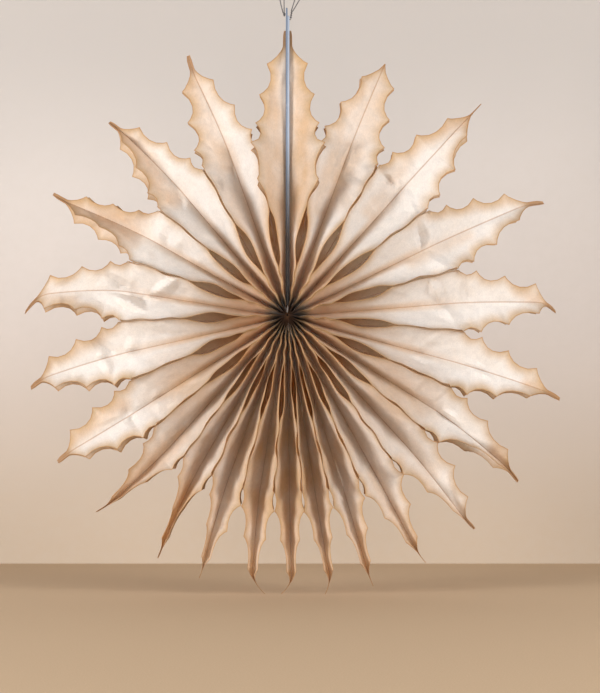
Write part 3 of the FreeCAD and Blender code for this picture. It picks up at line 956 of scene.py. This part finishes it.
def tent(
    points: np.ndarray, start: Place, end: Place, rise: float, left: float, right: float
) -> np.ndarray:
    """Return a crease's height at flat points: a ridge that falls off to both sides and to both ends.

    Args:
        points: the points, one row each.
        start: one end of the crease.
        end: its other end.
        rise: the height in its middle.
        left: its reach to the left.
        right: its reach to the right.

    Returns:
        The height at each point.
    """
    line = np.array(end) - np.array(start)
    length = float(np.hypot(*line))
    line = line / length
    from_start = points - np.array(start)
    along = from_start @ line / length
    aside = from_start @ np.array((-line[1], line[0]))
    ends = np.clip(1.0 - np.abs(2.0 * along - 1.0) ** 1.5 / 1.25, 0.0, 1.0)
    width = np.where(aside > 0.0, left, right) * (0.35 + 0.65 * ends)
    return rise * ends * np.clip(1.0 - np.abs(aside) / width, 0.0, 1.0)


def grain_group() -> bpy.types.NodeTree:
    """Return the grain that several finishes share, built at its first use.

    Returns:
        The node group: a noise on the piece's Object coordinates. Its inputs are Scale in grains to a
        metre, Detail in finer layers, Roughness for their strength, and Squeeze for how much denser
        the grains are along each axis.
    """
    made = bpy.data.node_groups.get("surface_grain")
    if made is not None:
        return made
    made = bpy.data.node_groups.new("surface_grain", "ShaderNodeTree")
    kinds = {"Scale": "Float", "Detail": "Float", "Roughness": "Float", "Squeeze": "Vector"}
    for name, kind in kinds.items():
        made.interface.new_socket(name, in_out="INPUT", socket_type="NodeSocket" + kind)
    made.interface.new_socket("Grain", in_out="OUTPUT", socket_type="NodeSocketFloat")
    given = made.nodes.new("NodeGroupInput").outputs
    place = made.nodes.new("ShaderNodeTexCoord")
    turn = made.nodes.new("ShaderNodeMapping")
    grain = made.nodes.new("ShaderNodeTexNoise")
    put_out = made.nodes.new("NodeGroupOutput")
    made.links.new(place.outputs["Object"], turn.inputs["Vector"])
    made.links.new(given["Squeeze"], turn.inputs["Scale"])
    made.links.new(turn.outputs["Vector"], grain.inputs["Vector"])
    for name in ("Scale", "Detail", "Roughness"):
        made.links.new(given[name], grain.inputs[name])
    made.links.new(grain.outputs["Fac"], put_out.inputs["Grain"])
    return made


class ShaderTree:
    """A material's node tree, with short calls for adding and joining nodes."""

    def __init__(self, name: str) -> None:
        """Make an empty material with an output and a Principled BSDF.

        Args:
            name: the material's name.
        """
        self.material = bpy.data.materials.new(name)
        self.material.use_nodes = True
        self.tree = self.material.node_tree
        self.tree.nodes.clear()
        output = self.tree.nodes.new("ShaderNodeOutputMaterial")
        self.surface = self.tree.nodes.new("ShaderNodeBsdfPrincipled")
        self.tree.links.new(self.surface.outputs["BSDF"], output.inputs["Surface"])

    def node(self, kind: str, **settings: object) -> bpy.types.Node:
        """Add a node.

        Args:
            kind: the node's type without ShaderNode.
            settings: its properties, and its inputs by name with _ for a space, as in Noise_Scale.

        Returns:
            The node.
        """
        made = self.tree.nodes.new("ShaderNode" + kind)
        for key, value in settings.items():
            if hasattr(made, key):
                setattr(made, key, value)
            else:
                made.inputs[key.replace("_", " ")].default_value = value
        return made

    def link(self, output: Socket, target: Socket) -> None:
        """Join an output to an input."""
        self.tree.links.new(output, target)

    def feed(self, name: str, value: object) -> None:
        """Give one of the surface's inputs a socket's value or a number.

        Args:
            name: the Principled BSDF's input.
            value: a socket to join to it, or its number.
        """
        if isinstance(value, Socket):
            self.link(value, self.surface.inputs[name])
        else:
            self.surface.inputs[name].default_value = value

    def attribute(self, name: str) -> Socket:
        """Return the value of one of the piece's own attributes."""
        return self.node("Attribute", attribute_name=name).outputs["Fac"]

    def math(self, operation: str, first: object, second: object = 0.0, clamp: bool = False) -> Socket:
        """Return the result of a Math node on two sockets or numbers.

        Args:
            operation: Blender's name for what it does.
            first: its first socket or number.
            second: its second socket or number.
            clamp: whether the result is held between 0 and 1.

        Returns:
            The result.
        """
        made = self.node("Math", operation=operation, use_clamp=clamp)
        for socket, value in zip(made.inputs, (first, second)):
            if isinstance(value, Socket):
                self.link(value, socket)
            else:
                socket.default_value = value
        return made.outputs[0]

    def ramp(self, value: object, low: float, high: float, start: float = 0.0, end: float = 1.0) -> Socket:
        """Return a value carried smoothly from the range low to high into the range start to end.

        Args:
            value: the socket that is carried.
            low: where its range starts.
            high: where its range ends.
            start: the result at low and below.
            end: the result at high and above.

        Returns:
            The result.
        """
        made = self.node("MapRange", interpolation_type="SMOOTHSTEP")
        self.link(value, made.inputs[0])
        for index, number in enumerate((low, high, start, end), 1):
            made.inputs[index].default_value = number
        return made.outputs[0]

    def blend(self, share: object, first: object, second: object, way: str = "MIX") -> Socket:
        """Return one colour mixed into another, both given as sockets or as colours.

        Args:
            share: how much of the second colour there is, as a socket or a number.
            first: the colour underneath.
            second: the colour on top.
            way: Blender's name for the way they mix.

        Returns:
            The mixed colour.
        """
        made = self.node("Mix", data_type="RGBA", blend_type=way)
        for index, value in ((0, share), (6, first), (7, second)):
            socket = made.inputs[index]
            if isinstance(value, Socket):
                self.link(value, socket)
            elif index == 0:
                socket.default_value = value
            else:
                socket.default_value = (*value, 1.0)
        return made.outputs[2]

    def grain(
        self, scale: float, detail: float, roughness: float = 0.5, squeeze: Point = (1.0, 1.0, 1.0)
    ) -> Socket:
        """Return the shared grain with this finish's own values.

        Args:
            scale: how many grains there are in a metre.
            detail: the number of finer layers.
            roughness: how strong the finer layers are.
            squeeze: how much denser the grains are along each axis.

        Returns:
            The grain's value, round 0.5.
        """
        values = {"Scale": scale, "Detail": detail, "Roughness": roughness, "Squeeze": squeeze}
        made = self.node("Group", node_tree=grain_group())
        for name, value in values.items():
            made.inputs[name].default_value = value
        return made.outputs["Grain"]

    def noise(
        self, scale: float, detail: float, roughness: float = 0.5, squeeze: Point = (1.0, 1.0, 1.0)
    ) -> Socket:
        """Return the paper's own noise, which also colours the light that comes through it.

        Args:
            scale: how many grains there are in a metre.
            detail: the number of finer layers.
            roughness: how strong the finer layers are.
            squeeze: how much denser the grains are along each axis.

        Returns:
            The noise's value, round 0.5.
        """
        place = self.node("TexCoord")
        turn = self.node("Mapping")
        turn.inputs["Scale"].default_value = squeeze
        grain = self.node("TexNoise", Scale=scale, Detail=detail, Roughness=roughness)
        self.link(place.outputs["Object"], turn.inputs["Vector"])
        self.link(turn.outputs["Vector"], grain.inputs["Vector"])
        return grain.outputs["Fac"]

    def cells(self, scale: float) -> Socket:
        """Return a height of flat-sided cells, like paper that was crushed and smoothed out.

        Args:
            scale: how many cells there are in a metre.

        Returns:
            The height, 0 in the middle of each cell.
        """
        place = self.node("TexCoord")
        bend = self.node("TexNoise", Scale=scale * 0.5, Detail=2.0)
        spread = self.node("VectorMath", operation="SCALE")
        spread.inputs["Scale"].default_value = 0.012
        whole = self.node("VectorMath", operation="ADD")
        facets = self.node("TexVoronoi", Scale=scale, Randomness=1.0)
        self.link(place.outputs["Object"], bend.inputs["Vector"])
        self.link(bend.outputs["Color"], spread.inputs[0])
        self.link(place.outputs["Object"], whole.inputs[0])
        self.link(spread.outputs[0], whole.inputs[1])
        self.link(whole.outputs[0], facets.inputs["Vector"])
        return facets.outputs["Distance"]

    def mix_in(self, share: object, shader: Socket) -> None:
        """Mix a second shader into the surface by a share, given as a number or as a socket.

        Args:
            share: how much of the second shader there is.
            shader: the second shader.
        """
        output = next(node for node in self.tree.nodes if node.type == "OUTPUT_MATERIAL")
        both = self.node("MixShader")
        if isinstance(share, Socket):
            self.link(share, both.inputs[0])
        else:
            both.inputs[0].default_value = share
        self.link(self.surface.outputs["BSDF"], both.inputs[1])
        self.link(shader, both.inputs[2])
        self.link(both.outputs["Shader"], output.inputs["Surface"])

    def bump(self, height: Socket, distance: float, strength: float) -> None:
        """Feed a height to the surface's normal.

        Args:
            height: the height's socket.
            distance: how high a height of 1 stands, in metres.
            strength: how strongly it shows, up to 1.
        """
        made = self.node("Bump", Distance=distance, Strength=strength)
        self.link(height, made.inputs["Height"])
        if self.surface.inputs["Normal"].is_linked:
            self.link(self.surface.inputs["Normal"].links[0].from_socket, made.inputs["Normal"])
        self.link(made.outputs["Normal"], self.surface.inputs["Normal"])


@dataclass(frozen=True)
class PaperFinish:
    """Thin cream paper, dyed brown along its cut edges, matt and finely fibrous, with painted shade in the
    pleats, along the midribs and at the hub, where it is also browner from the dye.
    """

    cream: Colour = (0.85, 0.845, 0.84)
    warm: Colour = (0.80, 0.735, 0.65)
    # This colour also paints shade: in some patches and near the midribs in the inner part of each leaf.
    tea_and_shade: Colour = (0.70, 0.47, 0.225)
    dye: Colour = (0.60, 0.41, 0.185)
    rim: Colour = (0.52, 0.29, 0.12)
    tail: Colour = (0.46, 0.26, 0.125)
    # Browner towards the hub: partly the dye, partly painted shade in the narrow pleats there.
    hub: Colour = (0.88, 0.63, 0.38)
    # The painted shadow at the hub.
    hub_shadow: Colour = (0.075, 0.032, 0.014)
    glow: Colour = (1.0, 0.85, 0.64)
    translucency: float = 0.46
    roughness: float = 0.85

    def make(self) -> bpy.types.Material:
        """Make the paper's material.

        Returns:
            The material, which reads each sheet's own attributes.
        """
        tree = ShaderTree("dyed_paper_with_painted_shade")
        cloud = tree.noise(28.0, 4.0)
        fibre = tree.noise(900.0, 6.0, 0.7, (1.0, 1.0, 0.45))
        edge = tree.attribute("edge_distance")
        reach = tree.attribute("reach")

        wander = tree.math("MULTIPLY", tree.math("SUBTRACT", cloud, 0.5), 0.014)
        soaked = tree.math("ADD", edge, wander)
        stain = tree.math("POWER", tree.ramp(soaked, -0.004, 0.0165, 1.0, 0.0), 1.4)
        back = tree.math("GREATER_THAN", tree.attribute("across"), 0.004)
        behind = tree.math("MULTIPLY", back, tree.ramp(reach, 0.115, 0.135, 1.0, 0.0))
        stain = tree.math("MULTIPLY", stain, tree.math("SUBTRACT", 1.0, behind))
        rim = tree.ramp(edge, 0.0003, 0.0014, 1.0, 0.0)
        across = tree.math("ABSOLUTE", tree.attribute("across"))
        # Painted shade: a thin dark line along each midrib, where the glued crease lies in shade.
        fold = tree.ramp(across, 0.0002, 0.0011, 1.0, 0.0)
        mottle = tree.noise(170.0, 5.0, 0.65)
        tail = tree.ramp(reach, 0.298, 0.312)
        # Browner towards the hub: partly the dye, partly painted shade in the narrow pleats there.
        hub = tree.ramp(reach, 0.012, 0.105, 1.0, 0.0)
        # Painted shadow: the paper turns near black right at the hub, where the pleats close into shade.
        hub_shadow = tree.ramp(reach, 0.008, 0.030, 1.0, 0.0)
        # Painted shade: tan along the midrib in the inner part of each leaf, down in its deep pleat.
        deep = tree.ramp(across, 0.001, 0.012, 1.0, 0.0)
        valley = tree.math("MULTIPLY", deep, tree.ramp(reach, 0.100, 0.230, 1.0, 0.0))
        clouds = tree.ramp(cloud, 0.35, 0.7)
        # The patches: dye that has run, and painted shade on the lower pleats and on leaf 1.
        run = tree.math("MULTIPLY", tree.attribute("tea_and_shade"), tree.ramp(cloud, 0.2, 0.75, 0.55, 1.1), clamp=True)

        colour = self.cream
        for mask, strength, tint in (
            (clouds, 0.20, self.warm),
            (run, 0.85, self.tea_and_shade),
            (valley, 0.6, self.tea_and_shade),
            (hub, 0.75, self.hub),
            (stain, 0.85, self.dye),
            (rim, 0.75, self.rim),
            (fold, 0.55, self.rim),
            (tail, 0.8, self.tail),
            (hub_shadow, 1.0, self.hub_shadow),
        ):
            colour = tree.blend(tree.math("MULTIPLY", mask, strength), colour, tint)
        fine = tree.ramp(fibre, 0.3, 0.75, 0.93, 1.05)
        flecks = tree.math("MULTIPLY", fine, tree.ramp(mottle, 0.3, 0.7, 0.96, 1.03))
        shade = tree.blend(1.0, colour, flecks, "MULTIPLY")
        tree.feed("Base Color", shade)
        through = tree.node("BsdfTranslucent")
        tree.link(tree.blend(1.0, shade, self.glow, "MULTIPLY"), through.inputs["Color"])
        tree.mix_in(self.translucency, through.outputs["BSDF"])
        matt = tree.ramp(fibre, 0.2, 0.8, self.roughness - 0.08, self.roughness + 0.1)
        tree.feed("Roughness", matt)
        tree.feed("Specular IOR Level", 0.15)
        tree.feed("Sheen Weight", 0.05)
        tree.bump(tree.cells(40.0), 0.0034, 0.5)
        tree.bump(fibre, 0.00012, 0.5)
        return tree.material


@dataclass(frozen=True)
class BarFinish:
    """Satin bluish grey lacquer on the closure bars, drawn lengthwise and scuffed in scattered spots."""

    name: str
    colour: Colour
    light: Colour
    # The colour of the painted shadow towards the hub.
    slot_shadow: Colour = (0.055, 0.038, 0.026)
    scratch: Colour = (0.45, 0.47, 0.52)

    def make(self) -> bpy.types.Material:
        """Make the bar's material.

        Returns:
            The material, with painted shadow towards the hub, where the bars lie deep between leaf 1's
            sheets.
        """
        tree = ShaderTree(self.name)
        drawn = tree.grain(220.0, 3.0, 0.5, (1.0, 1.0, 0.03))
        scuff = tree.grain(60.0, 5.0, 0.6)
        colour = tree.blend(tree.ramp(drawn, 0.35, 0.7), self.colour, self.light)
        colour = tree.blend(tree.ramp(scuff, 0.62, 0.78, 0.0, 0.4), colour, self.scratch)
        # Painted shadow: the bars darken towards the hub, where they lie deep in the slot between leaf 1's
        # sheets.
        height = tree.node("SeparateXYZ")
        tree.link(tree.node("TexCoord").outputs["Object"], height.inputs[0])
        slot_shadow = tree.ramp(height.outputs["Z"], -0.300, -0.235, 0.93, 0.0)
        colour = tree.blend(slot_shadow, colour, self.slot_shadow)
        tree.feed("Base Color", colour)
        tree.feed("Roughness", tree.ramp(scuff, 0.3, 0.7, 0.56, 0.7))
        tree.feed("Specular IOR Level", 0.35)
        tree.bump(drawn, 0.0001, 0.3)
        return tree.material


@dataclass(frozen=True)
class MagnetFinish:
    """Bright nickel plating on the closure magnets."""

    colour: Colour = (0.66, 0.65, 0.62)
    dull: Colour = (0.5, 0.49, 0.46)

    def make(self) -> bpy.types.Material:
        """Make the magnets' material.

        Returns:
            The material, hazed in small spots.
        """
        tree = ShaderTree("nickel_plating")
        haze = tree.grain(900.0, 3.0)
        colour = tree.blend(tree.ramp(haze, 0.4, 0.7), self.colour, self.dull)
        tree.feed("Base Color", colour)
        tree.feed("Roughness", tree.ramp(haze, 0.3, 0.7, 0.16, 0.3))
        tree.feed("Metallic", 1.0)
        return tree.material


@dataclass(frozen=True)
class ThreadFinish:
    """Dark twisted thread with a faint sheen on its plies."""

    dark: Colour = (0.045, 0.042, 0.045)
    light: Colour = (0.16, 0.15, 0.15)

    def make(self) -> bpy.types.Material:
        """Make the threads' material.

        Returns:
            The material, with its plies slanting across the thread.
        """
        tree = ShaderTree("twisted_thread")
        place = tree.node("TexCoord")
        turn = tree.node("Mapping")
        turn.inputs["Rotation"].default_value = (0.0, math.radians(38.0), 0.0)
        plies = tree.node("TexWave", Scale=620.0, Distortion=1.2, Detail=2.0)
        tree.link(place.outputs["Object"], turn.inputs["Vector"])
        tree.link(turn.outputs["Vector"], plies.inputs["Vector"])
        colour = tree.blend(plies.outputs["Fac"], self.dark, self.light)
        tree.feed("Base Color", colour)
        tree.feed("Roughness", 0.8)
        tree.feed("Sheen Weight", 0.2)
        tree.bump(plies.outputs["Fac"], 0.0002, 0.7)
        return tree.material


@dataclass
class PaperFan:
    """The forty-four sheets round the hub."""

    bar_thickness: float = 2.0
    glue_gap: float = 0.1

    def build(self) -> list[bpy.types.Object]:
        """Build every sheet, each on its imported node's place.

        Returns:
            The sheets, clockwise from the top.
        """
        paper = PaperFinish().make()
        whole = sum(leaf.spacing for leaf in LEAVES)
        spacings = [leaf.spacing * 360.0 / whole for leaf in LEAVES]
        sheets = []
        for index, leaf in enumerate(LEAVES):
            offset = self.glue_gap / 2.0
            if index == 0:
                offset += self.bar_thickness + self.glue_gap
            for side in Side:
                neighbour = spacings[index] if side is Side.CLOCKWISE else spacings[index - 1]
                sheet = PaperSheet(
                    number=index + 1,
                    leaf=leaf,
                    side=side,
                    bearing=sum(spacings[:index]),
                    half_spacing=math.radians(neighbour / 2.0),
                    offset=offset,
                )
                made = sheet.build()
                made.data.materials.append(paper)
                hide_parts(sheet.name)
                hold(made)
                sheets.append(made)
        return sheets


@dataclass
class Closure:
    """The two closure bars and the magnets between them, which keep the shapes they are packed with."""

    left: BarFinish = BarFinish("left_bar_lacquer", (0.11, 0.14, 0.19), (0.17, 0.21, 0.28))
    right: BarFinish = BarFinish("right_bar_lacquer", (0.24, 0.28, 0.35), (0.33, 0.37, 0.44))
    magnets: MagnetFinish = MagnetFinish()

    def dress(self) -> list[bpy.types.Object]:
        """Give the bars and magnets their finishes.

        Returns:
            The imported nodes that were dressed.
        """
        nickel = self.magnets.make()
        dressed = [
            self.paint("left_closure_bar", self.left.make()),
            self.paint("right_closure_bar", self.right.make()),
        ]
        for number in (1, 2, 3):
            dressed.append(self.paint(f"closure_magnet_{number}", nickel))
        return dressed

    def paint(self, node: str, material: bpy.types.Material) -> bpy.types.Object:
        """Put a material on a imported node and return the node's object.

        Args:
            node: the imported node's name.
            material: its finish.

        Returns:
            The node's object.
        """
        piece = bpy.data.objects[node]
        piece.data.materials.clear()
        piece.data.materials.append(material)
        return piece


@dataclass
class HangingThread:
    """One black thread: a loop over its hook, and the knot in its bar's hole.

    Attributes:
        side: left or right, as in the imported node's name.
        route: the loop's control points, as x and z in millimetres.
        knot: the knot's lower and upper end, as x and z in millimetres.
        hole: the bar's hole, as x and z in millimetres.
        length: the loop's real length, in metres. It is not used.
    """

    side: str
    route: tuple[Place, ...]
    knot: tuple[Place, Place]
    hole: Place
    length: float
    diameter: float = 0.0012

    def build(self, finish: bpy.types.Material) -> list[bpy.types.Object]:
        """Build the loop and its knot.

        Args:
            finish: the thread's material.

        Returns:
            The loop and the knot.
        """
        loop = self.build_loop(finish)
        knot = self.build_knot(finish)
        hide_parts(f"{self.side}_hanging_thread")
        hold(loop)
        hold(knot)
        return [loop, knot]

    def build_loop(self, finish: bpy.types.Material) -> bpy.types.Object:
        """Build the loop as one open smooth curve.

        Args:
            finish: the thread's material.

        Returns:
            The loop.
        """
        name = f"{self.side}_thread_loop"
        curve = bpy.data.curves.new(name, "CURVE")
        curve.dimensions = "3D"
        curve.bevel_depth = self.diameter / 2.0
        curve.bevel_resolution = 4
        curve.resolution_u = 14
        curve.use_fill_caps = True
        line = curve.splines.new("NURBS")
        line.points.add(len(self.route) - 1)
        for point, (x, z) in zip(line.points, self.route):
            point.co = (x * MM, 0.0, z * MM, 1.0)
        line.order_u = 3
        line.use_endpoint_u = True
        curve.materials.append(finish)
        loop = bpy.data.objects.new(name, curve)
        bpy.context.scene.collection.objects.link(loop)
        return loop

    def build_knot(self, finish: bpy.types.Material) -> bpy.types.Object:
        """Build the knot: turns of thread round its strands, and the strand through the bar's hole.

        Args:
            finish: the thread's material.

        Returns:
            The knot, as one mesh.
        """
        pick()
        low, high = (Vector((x * MM, 0.0, z * MM)) for x, z in self.knot)
        hole = Vector((self.hole[0] * MM, 0.0, self.hole[1] * MM))
        axis = (high - low).normalized()
        turns = 3
        parts = []
        for turn in range(turns):
            centre = low.lerp(high, (turn + 0.35) / turns)
            tilt = axis.to_track_quat("Z", "Y").to_euler()
            bpy.ops.mesh.primitive_torus_add(
                location=centre,
                rotation=(tilt.x + 0.25, tilt.y + 0.18 * (-1) ** turn, tilt.z),
                major_segments=26,
                minor_segments=10,
                major_radius=0.00068,
                minor_radius=self.diameter / 2.0,
            )
            parts.append(bpy.context.object)
        for start, end in ((low - axis * 0.0004, high + axis * 0.0006), (hole, Vector((low.x, 0.0, hole.z)))):
            run = end - start
            bpy.ops.mesh.primitive_cylinder_add(
                vertices=14,
                radius=self.diameter / 2.0,
                depth=run.length,
                location=start.lerp(end, 0.5),
                rotation=run.to_track_quat("Z", "Y").to_euler(),
            )
            parts.append(bpy.context.object)
        pick(*parts)
        knot = parts[0]
        bpy.ops.object.join()
        bpy.ops.object.transform_apply(location=True, rotation=True, scale=True)
        bpy.ops.object.shade_smooth_by_angle(angle=math.radians(50.0))
        knot.name = f"{self.side}_thread_knot"
        knot.data.name = knot.name
        knot.data.materials.append(finish)
        knot.select_set(False)
        return knot


@dataclass
class Studio:
    """The floor, the backdrop, the lamps and the camera."""

    floor_height: float = -0.6972
    wall_depth: float = 0.52
    plane_size: float = 6.0
    camera_place: Point = (0.0141, -2.2, -0.509)
    frame_width: float = 0.684
    sensor_width: float = 36.0
    horizon: float = 430.0
    lamp_colour: Colour = (0.985, 0.99, 1.0)
    air_colour: Colour = (0.93, 0.92, 0.91)
    air_strength: float = 0.33

    def build(self) -> None:
        """Make everything round the rosette."""
        middle = self.plane_size / 2.0
        floor_place = (0.0, self.wall_depth - middle, self.floor_height)
        wall_place = (0.0, self.wall_depth, self.floor_height + middle)
        self.add_plane("studio_floor", floor_place, 0.0, self.floor_finish())
        self.add_plane("studio_backdrop", wall_place, math.pi / 2.0, self.wall_finish())
        self.add_lamp("left_lamp", (-1.85, -1.35, -0.3), 0.7, 60.0)
        self.add_lamp("right_lamp", (1.85, -1.35, -0.05), 0.8, 44.0)
        self.add_lamp("front_lamp", (0.0, -2.6, -0.55), 0.9, 30.0)
        world = bpy.data.worlds.new("studio_air")
        bpy.context.scene.world = world
        world.use_nodes = True
        air = world.node_tree.nodes["Background"]
        air.inputs["Color"].default_value = (*self.air_colour, 1.0)
        air.inputs["Strength"].default_value = self.air_strength
        self.add_camera()
        bpy.context.scene.view_settings.view_transform = "Standard"

    def add_plane(self, name: str, place: Point, tilt: float, finish: bpy.types.Material) -> None:
        """Add a flat part of the set, tilted up round the X axis.

        Args:
            name: its name.
            place: its middle.
            tilt: its angle, 0 for level.
            finish: its material.
        """
        pick()
        bpy.ops.mesh.primitive_plane_add(size=self.plane_size, location=place, rotation=(tilt, 0.0, 0.0))
        plane = bpy.context.object
        plane.name = name
        plane.data.materials.append(finish)
        plane.select_set(False)

    def floor_finish(self) -> bpy.types.Material:
        """Make the floor's pale sandy card.

        Returns:
            The material.
        """
        tree = ShaderTree("floor_card")
        grain = tree.grain(700.0, 4.0, 0.7)
        colour = tree.blend(tree.ramp(grain, 0.3, 0.7), (0.49, 0.34, 0.205), (0.55, 0.39, 0.24))
        tree.feed("Base Color", colour)
        tree.feed("Roughness", 0.85)
        return tree.material

    def wall_finish(self) -> bpy.types.Material:
        """Make the backdrop's pale plaster, clear from behind, with light and shade painted by height: warmer
        and darker near the floor, lighter round the rosette and darker above it.

        Returns:
            The material.
        """
        tree = ShaderTree("backdrop_plaster_with_painted_light")
        place = tree.node("TexCoord")
        split = tree.node("SeparateXYZ")
        tree.link(place.outputs["Object"], split.inputs[0])
        grain = tree.grain(60.0, 5.0, 0.6)
        height = split.outputs["Y"]
        # Painted light and shade by height: warmer and darker near the floor for its bounce, a lighter band
        # round the rosette's height, and darker above it.
        colour = tree.blend(tree.ramp(height, -3.0, -2.62), (0.42, 0.33, 0.245), (0.52, 0.46, 0.42))
        colour = tree.blend(tree.ramp(height, -2.57, -2.25), colour, (0.235, 0.21, 0.19))
        colour = tree.blend(tree.ramp(height, -2.75, -2.45, 0.0, 0.6), colour, (0.53, 0.49, 0.46))
        colour = tree.blend(tree.ramp(grain, 0.3, 0.75, 0.0, 0.12), colour, (0.43, 0.38, 0.33))
        tree.feed("Base Color", colour)
        tree.feed("Roughness", 0.9)
        # The wall is clear from behind, so that the rosette is seen through it.
        behind = tree.node("NewGeometry").outputs["Backfacing"]
        tree.mix_in(behind, tree.node("BsdfTransparent").outputs["BSDF"])
        return tree.material

    def add_lamp(self, name: str, place: Point, size: float, watts: float) -> None:
        """Add a square soft lamp that faces the rosette's middle.

        Args:
            name: its name.
            place: its middle.
            size: its side in metres.
            watts: its power.
        """
        lamp = bpy.data.lights.new(name, "AREA")
        lamp.size = size
        lamp.energy = watts
        lamp.color = self.lamp_colour
        holder = bpy.data.objects.new(name, lamp)
        holder.location = place
        aim = Vector((0.0, 0.0, HUB_HEIGHT)) - Vector(place)
        holder.rotation_euler = aim.to_track_quat("-Z", "Y").to_euler()
        bpy.context.scene.collection.objects.link(holder)

    def add_camera(self) -> None:
        """Add the camera, level and square to the rosette, with its horizon below the frame's middle."""
        camera = bpy.data.cameras.new("camera")
        camera.sensor_fit = "HORIZONTAL"
        camera.sensor_width = self.sensor_width
        camera.lens = self.sensor_width * abs(self.camera_place[1]) / self.frame_width
        camera.shift_y = (self.horizon - IMAGE_HEIGHT / 2.0) / IMAGE_WIDTH
        holder = bpy.data.objects.new("camera", camera)
        holder.location = self.camera_place
        holder.rotation_euler = (math.pi / 2.0, 0.0, 0.0)
        bpy.context.scene.collection.objects.link(holder)
        bpy.context.scene.camera = holder


LEFT_THREAD = HangingThread(
    side="left",
    route=(
        (-5.3, -33.4), (-12.6, -4.0), (-11.3, -0.6), (-8.2, 0.4),
        (-5.3, -0.9), (-4.2, -4.2), (-4.0, -33.4),
    ),
    knot=((-3.6, -37.0), (-4.5, -33.3)),
    hole=(-0.25, -34.7),
    length=0.0722,
)
RIGHT_THREAD = HangingThread(
    side="right",
    route=(
        (4.1, -31.8), (12.3, -4.6), (13.6, -0.9), (17.0, 0.5),
        (20.6, -0.5), (22.2, -4.4), (5.5, -32.1),
    ),
    knot=((3.5, -39.6), (4.7, -31.9)),
    hole=(0.25, -41.1),
    length=0.0750,
)


def main() -> None:
    """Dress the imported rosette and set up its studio."""
    logging.basicConfig(level=logging.INFO, format="%(message)s")
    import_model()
    Studio().build()
    threads = ThreadFinish().make()
    for thread in (LEFT_THREAD, RIGHT_THREAD):
        for piece in thread.build(threads):
            LOG.info("thread piece %s", piece.name)
    for piece in Closure().dress():
        LOG.info("dressed %s", piece.name)
    for sheet in PaperFan().build():
        LOG.info("%s: %d faces", sheet.name, len(sheet.data.polygons))


if __name__ == "__main__":
    main()
